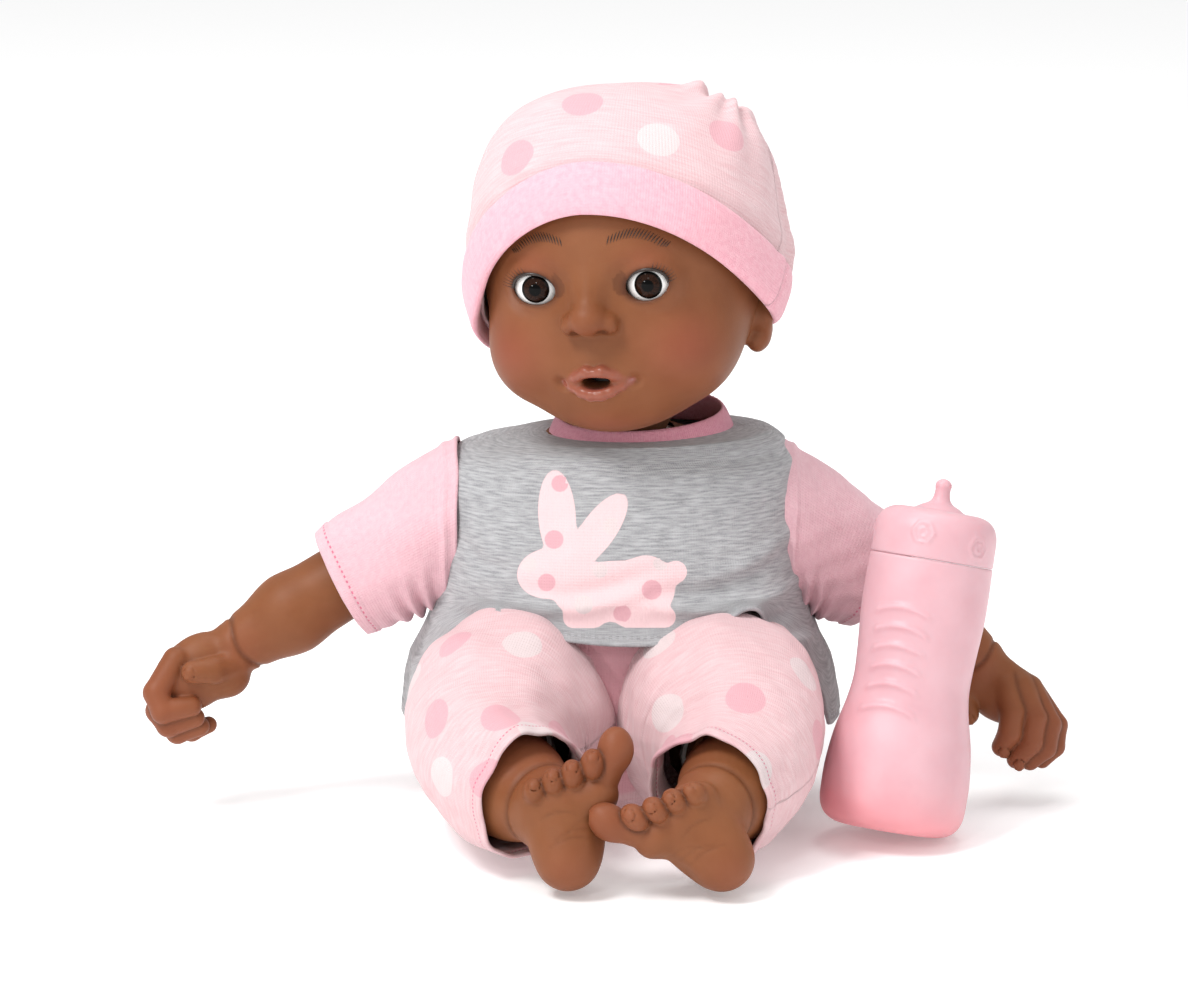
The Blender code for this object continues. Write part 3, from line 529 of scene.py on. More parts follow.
def add_head():
    points, faces = surface_of(head_distance, (-56, -62, -66), (56, 62, 62), 0.85 * DRAFT)
    lip = np.clip(0.55 - lips(points) / 1.1, 0, 1) * (skull(points) > -2.5)
    rose = np.zeros(len(points))
    for sign in (1, -1):
        rose += 0.9 * hill(points, (sign * 30, -40, -19), (13, 14, 11))
        rose += 0.5 * hill(points, (sign * 20, -46, 12), (9, 9, 5))
        rose += 0.5 * hill(points, (sign * 48, 12, -26), (6, 8, 10))
    rose += 0.5 * hill(points, (0, -42, -46), (12, 10, 6))
    rose += 0.35 * hill(points, (0, -53, -8), (8, 6, 6))
    # painted shade in the lid openings, nostrils, ear hollows, mouth and inside the head
    crease = np.zeros(len(points))
    for side, sign in SIDES:
        opening = eye_opening(points, side, sign)
        crease += 0.9 * bell(opening, 1.1) * (points[:, 1] < EYE[side][1] + 2)
        crease += 1.0 * hill(points, (sign * 4.7, -50.8, -11.2), (2.4, 3, 2))
        crease += 0.35 * hill(points, (sign * 49, 12, -19), (5, 5, 8))
    crease += 0.9 * hill(points, (0, -46, -28.2), (5.4, 4.0, 2.6))
    crease += (skull(points) < -1.5) * 0.5
    head = make_mesh(
        "head_sculpt",
        points,
        faces,
        skin_look("doll_skin_face", face=True),
        to_world=head_to_world,
        lip=lip,
        rose=np.clip(rose, 0, 1),
        crease=np.clip(crease, 0, 1),
    )
    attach(head, "head")
    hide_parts("head_shell")


def tube(points, radii, sides=6):
    """Points and faces of a closed tube along a path, with one radius for each point."""
    points = np.asarray(points, float)
    ahead = np.gradient(points, axis=0)
    ahead /= np.linalg.norm(ahead, axis=1)[:, None]
    side = np.cross(ahead, (0.31, 0.17, 0.93))
    side /= np.linalg.norm(side, axis=1)[:, None]
    up = np.cross(ahead, side)
    turn = full_turn(sides)
    rings = points[:, None] + np.asarray(radii)[:, None, None] * (
        side[:, None] * np.cos(turn)[None, :, None] + up[:, None] * np.sin(turn)[None, :, None]
    )
    faces = grid_faces(len(points), sides).tolist()
    last = (len(points) - 1) * sides
    faces += [list(range(sides))[::-1], [last + k for k in range(sides)]]
    return rings.reshape(-1, 3), faces


def merged(parts):
    """Several (points, faces) as one."""
    points, faces, start = [], [], 0
    for some, polygons in parts:
        points.append(some)
        faces += [[corner + start for corner in polygon] for polygon in polygons]
        start += len(some)
    return np.concatenate(points), faces


def onto_head(points, lift=0.0):
    """Points moved onto the vinyl surface."""
    points = np.array(points, float)
    for _ in range(6):
        points -= gradient(head_distance, points) * (head_distance(points) - lift)[:, None] * 0.9
    return points


def dark_paint(name):
    look = Look(name, 0.35)
    fibre = look.noise(look.coordinates("rest_mm"), 1.5)
    look.colour(look.mix(fibre, (0.012, 0.006, 0.004), (0.03, 0.015, 0.009)))
    return look.material


def eye_look():
    look = Look("eye_gloss", 0.05, IOR=1.13, Coat_Weight=0.12, Coat_Roughness=0.02)
    across = look.attribute("gaze_mm")
    fibre = look.noise(look.scaled(look.coordinates("iris"), (5, 5, 0.25)), 3.0, 4)
    iris = look.mix(look.band(fibre, 0.35, 0.7), (0.004, 0.002, 0.0015), (0.040, 0.015, 0.008))
    dark = (0.001, 0.001, 0.001)
    # painted shade: the white of the eye darkens towards its rim
    white = look.mix(look.band(across, 4.8, 8.5), (0.82, 0.82, 0.81), (0.60, 0.52, 0.48))
    tone = look.mix(look.band(across, 1.9, 2.3), dark, iris)
    tone = look.mix(look.band(across, 3.7, 4.2), tone, dark)
    tone = look.mix(look.band(across, 4.62, 4.85), tone, white)
    look.colour(tone)
    return look.material


def add_eye(side, look):
    rows, columns = 56, 56
    polar = np.linspace(0.004, np.pi - 0.004, rows)[:, None]
    turn = full_turn(columns)[None, :]
    cornea = 0.45 * np.clip(1 - (polar / 0.56) ** 2, 0, 1) ** 1.2
    radius = EYE_RADIUS + cornea
    flat = np.stack(
        [
            radius * np.sin(polar) * np.cos(turn),
            -radius * np.cos(polar) * np.ones_like(turn),
            radius * np.sin(polar) * np.sin(turn),
        ],
        -1,
    ).reshape(-1, 3)
    gaze = np.array(Euler((np.radians(-1.5), 0, np.radians(4)), "XYZ").to_matrix())
    away = np.where(flat[:, 1] < 0, np.hypot(flat[:, 0], flat[:, 2]), 9.0)
    iris = flat / np.maximum(np.hypot(flat[:, 0], flat[:, 2]), 0.01)[:, None]
    iris = np.stack([iris[:, 0], iris[:, 2], away], -1)
    points = EYE[side] + flat @ gaze.T
    faces = grid_faces(rows, columns)[:, ::-1].tolist()
    faces.append(list(range(columns)))
    faces.append([(rows - 1) * columns + k for k in range(columns)][::-1])
    name = f"{side}_eyeball"
    eye = make_mesh(name, points, faces, look, to_world=head_to_world, gaze_mm=away, iris=iris)
    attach(eye, "head")
    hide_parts(f"{side}_eye")


def lid_point(side, sign, share, reach):
    """Point on the upper lid's margin. The share runs from -1 at the nose to 1 outside."""
    across = 7.3 * share
    up = 5.7 * np.sqrt(max(0.0, 1 - share**2)) + 0.08 * across
    deep = np.sqrt(max(reach**2 - across**2 - up**2, 1.0))
    return EYE[side] + np.array((across * sign, -deep, up))


def add_lashes(side, sign, look):
    shares = np.sin(np.linspace(-1.35, 1.55, 30))
    margin = [lid_point(side, sign, share, EYE_RADIUS + 1.25) for share in shares]
    thick = 0.2 + 0.38 * np.sin(np.linspace(0.15, 2.6, 30))
    parts = [tube(margin, thick, 8)]
    for share in np.sin(np.linspace(0.35, 1.5, 9)):
        root = lid_point(side, sign, share, EYE_RADIUS + 1.3)
        out = root - EYE[side]
        out = np.array((out[0], -1.2, out[2] * 0.9 + 0.8))
        out /= np.linalg.norm(out)
        length = 2.0 + 1.6 * share
        lift = np.array((0, -0.1, 0.5))
        path = [root + out * length * t + lift * length * 0.4 * t**2 for t in np.linspace(0, 1, 6)]
        parts.append(tube(path, np.linspace(0.17, 0.03, 6), 5))
    points, faces = merged(parts)
    lashes = make_mesh(f"{side}_lashes", points, faces, look, to_world=head_to_world)
    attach(lashes, "head")


def add_brow(side, sign, look):
    parts = []
    strokes = 20
    for k in range(strokes):
        share = k / (strokes - 1)
        x = 8.0 + 23.0 * share
        z = 19.2 + 2.6 * np.sin(np.pi * min(share * 1.15, 1)) - 1.6 * share**2
        lean = 0.30 + 0.75 * share
        length = 4.4 * (0.75 + 0.35 * np.sin(np.pi * share))
        t = np.linspace(-0.5, 0.5, 6)
        path = np.stack(
            [
                sign * (x + np.sin(lean) * length * t + 0.25 * t**2),
                np.full(6, -44.0),
                z + np.cos(lean) * length * t,
            ],
            -1,
        )
        parts.append(tube(onto_head(path, 0.06), 0.235 - 0.36 * np.abs(t), 5))
    points, faces = merged(parts)
    brow = make_mesh(f"{side}_brow", points, faces, look, to_world=head_to_world)
    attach(brow, "head")


def add_face():
    gloss = eye_look()
    paint = dark_paint("dark_paint")
    for side, sign in SIDES:
        add_eye(side, gloss)
        add_lashes(side, sign, paint)
        add_brow(side, sign, paint)


# ---------------------------------------------------------------- knitted cloth

CLOTH_THICK = 1.3
RIPPLE_WAVES = 5
PALE = (0.65, 0.40, 0.42)
PALE_LIGHT = (0.70, 0.50, 0.515)
PINK = (0.76, 0.36, 0.43)
PINK_LIGHT = (0.80, 0.44, 0.50)
# pink of the printed dots, also used for the painted shade on the trouser seat
DOT_AND_SHADE_PINK = (0.66, 0.34, 0.385)
DOT_WHITE = (0.66, 0.57, 0.57)
STITCH_PINK = (0.62, 0.17, 0.25)
PRINT_PINK = (0.80, 0.56, 0.575)


def knit_look(
    name, low, high, streak=(0.1, 1.1, 1.0), stitch=None, rows=(3.6,), dots=False, rabbit=False
):
    """Jersey: a streaky heather colour, fine ribs, and rows of stitches near the edge."""
    look = Look(name, 0.92, Sheen_Weight=0.25, Sheen_Roughness=0.5)
    look.shader.inputs["Specular IOR Level"].default_value = 0.2
    weave = look.coordinates("weave")
    streaks = look.noise(look.scaled(weave, streak), 1.0, 5)
    fuzz = look.noise(weave, 1.6, 3)
    tone = look.mix(look.band(streaks, 0.34, 0.66), low, high)
    tone = look.mix(look.band(fuzz, 0.3, 0.7, 0, 0.35), tone, high)
    if rabbit:
        inside = look.band(look.attribute("print_mm"), -0.12, 0.12, 1, 0)
        tone = look.mix(inside, tone, PRINT_PINK)
    if dots:
        # on the trouser seat the pink dot mark also carries painted shade
        for key, colour in (("pink_dot", DOT_AND_SHADE_PINK), ("white_dot", DOT_WHITE)):
            inside = look.band(look.attribute(key), -0.2, 0.2, 0.85, 0)
            tone = look.mix(inside, tone, colour)
    across = look.node("ShaderNodeSeparateXYZ")
    look.link(weave, across.inputs["Vector"])
    dash = look.math("SINE", look.math("MULTIPLY", across.outputs["X"], 2 * np.pi / 2.3), 0)
    sewn = None
    for row in rows if stitch else ():
        away = look.math("ABSOLUTE", look.math("SUBTRACT", look.attribute("edge_mm"), row), 0)
        line = look.math("MULTIPLY", look.band(away, 0.22, 0.4, 1, 0), look.band(dash, -0.1, 0.2))
        tone = look.mix(line, tone, stitch)
        dip = look.band(away, 0, 0.9, 1, 0)
        sewn = dip if sewn is None else look.math("ADD", sewn, dip)
    look.colour(tone)
    ribs = look.wave(look.scaled(weave, (1, 1, 0)), 0.34, "X")
    courses = look.wave(look.scaled(weave, (1, 1, 0)), 0.30, "Y")
    ribs, courses = look.math("MULTIPLY", ribs, 0.5), look.math("MULTIPLY", courses, 0.35)
    height = look.math("ADD", ribs, courses)
    height = look.math("ADD", height, look.math("MULTIPLY", fuzz, 0.8))
    if sewn is not None:
        height = look.math("SUBTRACT", height, look.math("MULTIPLY", sewn, 2.0))
    look.bump(height, 0.00022, 0.7)
    return look.material


def unit(vector):
    vector = np.asarray(vector, float)
    return vector / np.linalg.norm(vector)


def bell(value, width):
    """1 where the value is 0, falling smoothly to 0 on both sides."""
    return np.exp(-((value / width) ** 2))


def smooth(value, low, high):
    share = np.clip((value - low) / (high - low), 0, 1)
    return share * share * (3 - 2 * share)


def grid_normals(points, out_from):
    """Normals of a grid that is closed along its columns, pointing away from the given points."""
    down = np.gradient(points, axis=0)
    round_ = np.roll(points, -1, axis=1) - np.roll(points, 1, axis=1)
    normal = np.cross(round_, down)
    normal /= np.maximum(np.linalg.norm(normal, axis=2), 1e-9)[..., None]
    if (normal * (points - out_from)).sum() < 0:
        normal = -normal
    return normal


def cloth(name, outer, out_from, look, to_world=None, **marks):
    """A knitted tube with real thickness and soft edges, from rows of points on its outer face."""
    rows, columns = outer.shape[:2]
    normal = grid_normals(outer, out_from)
    inner = outer - normal * CLOTH_THICK
    first = (outer[:1] + inner[:1]) / 2 + unit_rows(outer[:1] - outer[1:2]) * CLOTH_THICK * 0.35
    last = (outer[-1:] + inner[-1:]) / 2 + unit_rows(outer[-1:] - outer[-2:-1]) * CLOTH_THICK * 0.35
    loop = np.concatenate([first, outer, last, inner[::-1]])
    count = len(loop)
    faces = grid_faces(count, columns)
    closing = np.arange(columns)
    after = (closing + 1) % columns
    base = (count - 1) * columns
    faces = np.concatenate([faces, np.stack([base + closing, base + after, after, closing], -1)])
    corner = loop.reshape(-1, 3)[faces[columns * 2 + 1]]
    facing = np.cross(corner[1] - corner[0], corner[2] - corner[1])
    if facing @ normal.reshape(-1, 3)[columns + 1] < 0:
        faces = faces[:, ::-1]
    stored = {}
    for key, values in marks.items():
        values = values.reshape(rows, columns, -1)
        full = np.concatenate([values[:1], values, values[-1:], values[::-1]])
        stored[key] = full.reshape(-1, values.shape[2])
        if values.shape[2] == 1:
            stored[key] = stored[key][:, 0]
    return make_mesh(name, loop.reshape(-1, 3), faces, look, to_world=to_world, **stored)


def unit_rows(vectors):
    return vectors / np.maximum(np.linalg.norm(vectors, axis=-1, keepdims=True), 1e-9)


def weave_of(points):
    """Distances in mm along the columns and the rows of a closed grid, for the knit pattern."""
    middle = points[len(points) // 2]
    round_ = np.linalg.norm(np.diff(middle, axis=0, append=middle[:1]), axis=1)
    across = np.concatenate([[0], np.cumsum(round_)[:-1]])
    along = np.linalg.norm(np.diff(points, axis=0), axis=2).mean(axis=1)
    down = np.concatenate([[0], np.cumsum(along)])
    u, v = np.meshgrid(across, down)
    return np.stack([u, v, np.zeros_like(u)], -1)


def dot_distance(points, dots):
    """Distance from the edge of the nearest dot, each a centre and a radius, negative inside it."""
    nearest = np.full(points.shape[:2], 99.0)
    for centre, radius in dots:
        away = np.linalg.norm(points - np.asarray(centre, float), axis=2) - radius
        nearest = np.minimum(nearest, away)
    return nearest


def ripple(points, seed, scale):
    """A smooth random height between about -1 and 1, made of a few slanted waves."""
    rng = np.random.default_rng(seed)
    height = np.zeros(points.shape[:-1])
    for _ in range(RIPPLE_WAVES):
        wave = rng.normal(size=3)
        wave *= 2 * np.pi / (scale * rng.uniform(0.7, 1.5) * np.linalg.norm(wave))
        height += np.sin(points @ wave + rng.uniform(0, 2 * np.pi))
    return height / RIPPLE_WAVES**0.5


# ---------------------------------------------------------------- hat

HAT_LEAN = np.array(Matrix.Rotation(np.radians(-34), 3, "X"))
GATHER = unit(np.array((31, 12, 51)) @ HEAD_TURNED)
CROWN_SEAM = unit(np.array((47, -4, -6)) @ HEAD_TURNED)
CUFF_SEAM = np.array((47, -15, -4)) @ HEAD_TURNED @ HAT_LEAN
HAT_FULLNESS = (  # direction, height in mm and reach in radians
    (unit(np.array((-38, -4, 50)) @ HEAD_TURNED), 6.0, 0.45),
    (unit(np.array((46, 0, 52)) @ HEAD_TURNED), 4.5, 0.34),
)


def hat_directions(polar, turn):
    flat = np.stack([np.sin(polar) * np.cos(turn), np.sin(polar) * np.sin(turn), np.cos(polar)], -1)
    return flat @ HAT_LEAN.T


def skull_radius(directions):
    flat = directions.reshape(-1, 3)
    radius = np.full(len(flat), 60.0)
    for _ in range(14):
        radius -= skull(flat * radius[:, None])
    return radius.reshape(directions.shape[:-1])


def ear_room(directions):
    """Extra room where the hat passes over the ears."""
    room = 0
    for sign in (1, -1):
        away = np.arccos(np.clip(directions @ unit((sign * 0.93, 0.26, -0.28)), -1, 1))
        room = room + 3.6 * bell(away, 0.36)
    return room


def hat_rim_angle(turn):
    sideways = np.maximum(0, -np.cos(turn))
    return np.radians(93 + 15 * np.cos(turn) ** 2 + np.sin(turn) + 10 * sideways**1.5)


def add_hat_crown():
    rows, columns = 130, 240
    share = np.linspace(0.006, 0.95, rows)[:, None]
    turn = full_turn(columns)[None, :]
    directions = hat_directions(share * hat_rim_angle(turn), turn)
    radius = skull_radius(directions) + 3.2 + ear_room(directions)
    away = np.arccos(np.clip(directions @ GATHER, -1, 1))
    side = unit(np.cross(GATHER, (0, 0, 1)))
    around = np.arctan2(directions @ np.cross(GATHER, side), directions @ side)
    # loose top, boxier to both upper sides, then the gathers round the sewn end
    for place, high, wide in HAT_FULLNESS:
        radius += high * bell(np.arccos(np.clip(directions @ place, -1, 1)), wide)
    radius += 3.0 * bell(away, 0.75) * smooth(away, 0.0, 0.3)
    radius += 3.4 * bell(away - 0.14, 0.08) * (1 + 0.35 * np.cos(5 * around + 1))
    radius -= 4.5 * bell(away, 0.06)
    pleats = np.cos(9 * around + 1.2 * np.sin(3 * around))
    radius += 1.5 * pleats * bell(away, 0.42) * smooth(away, 0.05, 0.16)
    # seam fold from the gathers down to the cuff
    across = directions @ unit(np.cross(GATHER, CROWN_SEAM))
    shown = smooth(directions @ CROWN_SEAM, 0.25, 0.6)
    radius += shown * 1.9 * bell(across, 0.045)
    radius -= shown * 1.7 * bell(across - 0.085, 0.03)
    flat = directions * radius[..., None]
    radius += 0.5 * ripple(flat, 3, 46) + 0.16 * ripple(flat, 8, 17)
    # sag just above the cuff
    radius += 0.9 * bell(share - 0.76, 0.05) * (1 + 0.6 * np.cos(3 * turn + 0.5))
    points = directions * radius[..., None]

    def spot(world_offset):
        direction = unit(np.array(world_offset) @ HEAD_TURNED)
        k = np.argmax((directions @ direction).ravel())
        return points.reshape(-1, 3)[k]

    pink = [((-33, -22, 38), 6.8), ((-14, -14, 58), 7), ((36, -16, 49), 6.8), ((19, 14, 60), 7)]
    pink += [((-46, 22, 26), 7), ((4, 48, 40), 7), ((48, 26, 12), 7), ((-20, 52, 2), 7)]
    pink += [((30, 50, 4), 7)]
    white = [((12, -30, 50), 7.2), ((-52, 4, 8), 7), ((-14, 20, 54), 7), ((44, 32, 34), 7)]
    white += [((-30, 48, 24), 7), ((6, 58, 10), 7), ((-50, 34, -8), 7)]
    pink_dots = [(spot(place), size) for place, size in pink]
    white_dots = [(spot(place), size) for place, size in white]
    crown = cloth(
        "hat_crown_knit",
        points,
        (0, 0, 0),
        knit_look("pale_heather_hat", PALE, PALE_LIGHT, dots=True),
        to_world=head_to_world,
        weave=weave_of(points),
        pink_dot=dot_distance(points, pink_dots),
        white_dot=dot_distance(points, white_dots),
    )
    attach(crown, "hat")
    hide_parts("hat_crown")


def add_hat_cuff():
    """The rolled rim: an oval section carried round the edge of the crown."""
    section, columns = 40, 240
    angle = full_turn(section)[:, None]
    turn = full_turn(columns)[None, :]
    reach = squared_off(np.cos(angle), 0.75)
    lift = squared_off(np.sin(angle), 0.9)
    polar = hat_rim_angle(turn) + np.radians(-8.9 + 9.3 * reach)
    directions = hat_directions(polar, turn)
    fat = 2.0 + 0.35 * reach
    radius = skull_radius(directions) + 5.4 + fat * lift + 0.6 * ear_room(directions) - 0.5 * reach
    seam_turn = np.arctan2(CUFF_SEAM[1], CUFF_SEAM[0])
    beside = np.angle(np.exp(1j * (turn - seam_turn)))
    outside = smooth(lift, -0.2, 0.5)
    radius -= outside * 1.5 * bell(beside, 0.022)
    radius += outside * 0.9 * bell(beside + 0.07, 0.05)
    flat = directions * radius[..., None]
    radius += outside * (0.35 * ripple(flat, 21, 40) + 0.12 * ripple(flat, 5, 12))
    points = directions * radius[..., None]
    edge = np.stack([turn * 56 + 0 * angle, 9.6 * reach + 0 * turn, lift + 0 * turn], -1)
    faces = ring_faces(section, columns)
    cuff = make_mesh(
        "hat_cuff_knit",
        points.reshape(-1, 3),
        faces[:, ::-1],
        knit_look("pink_knit_cuff", PINK, PINK_LIGHT, streak=(0.5, 0.5, 1)),
        to_world=head_to_world,
        weave=edge.reshape(-1, 3),
    )
    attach(cuff, "hat")
    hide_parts("hat_cuff")


# ---------------------------------------------------------------- shirt

TORSO_MIDDLE = np.array((0.0, 10.0, 60.0))
SHIRT_PROFILE = (  # height, half width, depth in front, depth behind
    (10, 67, 44, 46),
    (30, 76, 50, 50),
    (50, 73, 51.5, 50),
    (66, 66, 50, 48),
    (80, 63.5, 47.5, 46),
    (98, 62.5, 43, 42),
    (113, 62, 38.5, 38),
    (122, 60, 34, 34),
    (127.5, 54, 30.5, 31),
    (130.5, 45, 28.5, 28.5),
    (131.5, 30.0, 20.6, 24.0),
)
VIEW_TILT = np.radians(14)
NECK_MIDDLE = np.array((7.0, 9.0, 131.0))


def shirt_hem(turn):
    """The hem rides up over the lap and hangs down beside the seat and behind it."""
    forward = -np.sin(turn)
    lap = 29 + 50 * smooth(forward, 0.16, 0.86) - 11 * bell(forward - 1, 0.10)
    back = 31 + 17 * forward
    wave = 1.6 * np.sin(7 * turn + 0.6) + 1.0 * np.sin(13 * turn)
    return np.where(forward > 0, lap, back) + wave * 0.6


def shirt_folds(points):
    """Folds that run from the lap and the armpits, as grooves and ridges across the front view."""
    x, z = points[..., 0], points[..., 2]
    front = smooth(10 - points[..., 1], 0, 22)
    folds = (  # start, end, half width, height
        ((12, 84), (56, 92), 3.2, -2.6),
        ((10, 79), (60, 82), 2.6, 2.4),
        ((22, 76), (64, 74), 2.4, -2.4),
        ((26, 87), (60, 101), 3.6, 1.4),
        ((36, 71), (70, 62), 2.6, 2.2),
        ((40, 66), (72, 52), 2.4, -2.2),
        ((48, 70), (72, 40), 2.6, 1.8),
        ((-34, 84), (12, 91), 3.4, -1.5),
        ((-40, 79), (6, 84), 3.0, 1.8),
        ((-60, 74), (-20, 76), 2.8, -2.2),
        ((-64, 68), (-30, 72), 2.6, 1.8),
        ((-70, 60), (-62, 38), 2.6, -2.0),
        ((-75, 56), (-68, 34), 2.4, 1.8),
        ((-56, 100), (-38, 90), 3.2, -1.2),
        ((-20, 118), (24, 116), 4.0, -0.8),
    )
    shift = np.zeros(x.shape)
    plane = np.stack([x, z], -1)
    for start, end, wide, high in folds:
        share, off = off_rod(plane, start, end)
        bow = np.stack([np.zeros_like(share), -3.0 * np.sin(np.pi * share)], -1)
        away = np.linalg.norm(off - bow, axis=-1)
        taper = 0.35 + 0.65 * np.sin(np.pi * np.clip(share, 0.04, 0.96))
        shift += high * bell(away, wide) * taper
    return shift * front


def capsule_2d(p, start, end, radius):
    return np.linalg.norm(off_rod(p, start, end)[1], axis=-1) - radius


def oval_2d(p, centre, radii, lean=0.0):
    q = p - np.array(centre, float)
    turn = np.array(((np.cos(lean), -np.sin(lean)), (np.sin(lean), np.cos(lean))))
    q = q @ turn
    inner = np.linalg.norm(q / np.array(radii, float), axis=-1)
    return (inner - 1) * min(radii)


def rabbit_print(points):
    """Distance from the outline of a plain seated rabbit, and each point's place in it."""
    up = points[..., 2] * np.cos(VIEW_TILT) + (points[..., 1] + 8) * np.sin(VIEW_TILT)
    p = np.stack([points[..., 0], up], -1)
    parts = (
        oval_2d(p, (-24.5, 81.5), (10.5, 8.4), 0.1),
        oval_2d(p, (-21.5, 101), (6.3, 15.5), 0.06),
        oval_2d(p, (-7.5, 96), (5.8, 15), -0.62),
        oval_2d(p, (-3, 75.5), (19.5, 10.2), 0.08),
        oval_2d(p, (8.5, 77), (9.8, 10.6)),
        oval_2d(p, (18.6, 82), (3.8, 3.8)),
        capsule_2d(p, (-16, 66.5), (-9, 66.5), 3.4),
        capsule_2d(p, (2, 66.8), (15, 66.8), 3.6),
    )
    shape = parts[0]
    for part in parts[1:]:
        shape = join(shape, part, 2.0)
    return np.where(points[..., 1] < 5, shape, 9.0), p


def flat_dots(p, dots):
    nearest = np.full(p.shape[:-1], 99.0)
    for centre, radius in dots:
        away = np.linalg.norm(p - np.array(centre, float), axis=-1) - radius
        nearest = np.minimum(nearest, away)
    return nearest


def add_shirt():
    rows, columns = 150, 330
    share = np.linspace(0, 1, rows)[:, None]
    turn = full_turn(columns)[None, :]
    profile = np.array(SHIRT_PROFILE, float)
    heights = profile[:, 0]
    # heights run evenly up the side, then by length over the round shoulder
    upper = profile[4:]
    steps = np.hypot(np.diff(upper[:, 0]), np.diff(upper[:, 1]))
    measure = np.concatenate([[0], np.cumsum(steps)])
    hem = shirt_hem(turn)
    low_part = np.clip(share / 0.5, 0, 1)
    high_part = np.clip((share - 0.5) / 0.5, 0, 1) * measure[-1]
    height = np.where(share <= 0.5, hem + (upper[0, 0] - hem) * low_part, 0)
    height = np.where(share > 0.5, np.interp(high_part, measure, upper[:, 0]), height)

    def size(column):
        below = np.interp(height, heights, profile[:, column])
        above = np.interp(high_part, measure, upper[:, column]) + 0 * turn
        return np.where(share <= 0.5, below, above)

    cosine, sine = np.cos(turn), np.sin(turn)
    square = 0.80 + 0.12 * smooth(height, 118, 131)
    wide = size(1) * squared_off(cosine, square)
    deep = np.where(sine < 0, size(2), size(3)) * squared_off(sine, square + 0.08)
    points = np.stack([wide, 10 + deep, height], -1)
    points[..., 0] += 7.0 * smooth(height, 125, 131.5)
    points[..., 2] += 1.2 * smooth(height, 125, 131.5) * cosine
    normal = grid_normals(points, TORSO_MIDDLE)
    hang = smooth(66 - height, 0, 30)
    lower = 1.3 * hang * np.sin(9 * turn + 0.5) * smooth(1 + sine, 0.25, 0.6)
    shift = shirt_folds(points) + lower
    shift = shift + 0.45 * ripple(points, 12, 34) + 0.15 * ripple(points, 4, 11)
    shift *= smooth(131.6 - height, 0, 5)
    points = points + normal * shift[..., None]
    # the hem lies on the lap
    edge = share * np.linalg.norm(np.diff(points, axis=0), axis=2).sum(axis=0)[None, :]
    points[..., 1] -= 3.5 * np.exp(-edge / 7) * smooth(-sine, 0.3, 0.9)
    shape, plane = rabbit_print(points)
    inside = shape < 0.3
    pink = [((-20.5, 112), 2.9), ((-22.5, 93), 3.2), ((-25, 78.5), 3.0)]
    pink += [((10.5, 76), 3.4), ((0.5, 68), 3.0)]
    white = [((-3, 97.5), 3.0), ((-31, 84.5), 2.7), ((-7, 82.5), 2.6)]
    white += [((-12.5, 71), 3.2), ((13.5, 85), 2.6)]
    shirt = cloth(
        "shirt_knit",
        points,
        TORSO_MIDDLE,
        knit_look(
            "grey_heather_knit",
            (0.23, 0.23, 0.24),
            (0.45, 0.45, 0.46),
            streak=(0.15, 1.3, 1),
            stitch=(0.50, 0.50, 0.52),
            rows=(4.6, 6.4),
            dots=True,
            rabbit=True,
        ),
        weave=weave_of(points),
        edge_mm=edge,
        print_mm=shape,
        pink_dot=np.where(inside, flat_dots(plane, pink), 9.0),
        white_dot=np.where(inside, flat_dots(plane, white), 9.0),
    )
    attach(shirt, "torso")
    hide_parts("shirt_body", "shirt_back_closure")


def add_neck_band():
    """Ribbed band round the neck: an oval section, wider below than above."""
    section, columns = 30, 200
    angle = full_turn(section)[:, None]
    turn = full_turn(columns)[None, :]
    up = squared_off(np.cos(angle), 0.7)
    out = squared_off(np.sin(angle), 0.9)
    forward = -np.sin(turn)
    rise = 4.8 * (up + 1) - 1.5
    wide = 31.4 - 0.42 * rise + 1.1 * out
    deep = np.where(np.sin(turn) < 0, 22.0, 25.0) - 0.34 * rise + 1.1 * out
    height = NECK_MIDDLE[2] - 1.5 + rise * (1 - 0.22 * forward) - 1.2 * forward
    height = height + 1.6 * np.cos(turn) + 0.15 * np.sin(70 * turn) * (out > 0)
    across = NECK_MIDDLE[0] + wide * np.cos(turn)
    points = np.stack([across, NECK_MIDDLE[1] + deep * np.sin(turn), height], -1)
    faces = ring_faces(section, columns)
    weave = np.stack([turn * 34 + 0 * angle, 9.6 * up + 0 * turn, 0 * angle + 0 * turn], -1)
    band = make_mesh(
        "neck_band_knit",
        points.reshape(-1, 3),
        faces,
        knit_look("pink_rib_knit", (0.66, 0.26, 0.34), (0.72, 0.33, 0.41), streak=(0.5, 0.4, 1)),
        weave=weave.reshape(-1, 3),
    )
    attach(band, "torso")
    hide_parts("neck_binding")


# ---------------------------------------------------------------- sleeves and trousers

def path_frames(path, steps):
    """Smooth points along a path and the unit directions there."""
    path = np.asarray(path, float)
    lengths = np.concatenate([[0], np.cumsum(np.linalg.norm(np.diff(path, axis=0), axis=1))])
    places = np.linspace(0, lengths[-1], steps)
    points = np.stack([smooth_curve(places, lengths, path[:, k]) for k in range(3)], -1)
    ahead = unit_rows(np.gradient(points, axis=0))
    return points, ahead, places / lengths[-1]


def smooth_curve(places, knots, values):
    """Cubic Hermite curve through values at knots."""
    slope = np.gradient(values, knots)
    index = np.clip(np.searchsorted(knots, places) - 1, 0, len(knots) - 2)
    wide = knots[index + 1] - knots[index]
    t = (places - knots[index]) / wide
    a, b = values[index], values[index + 1]
    m, n = slope[index] * wide, slope[index + 1] * wide
    start = (2 * t**3 - 3 * t**2 + 1) * a + (t**3 - 2 * t**2 + t) * m
    return start + (3 * t**2 - 2 * t**3) * b + (t**3 - t**2) * n


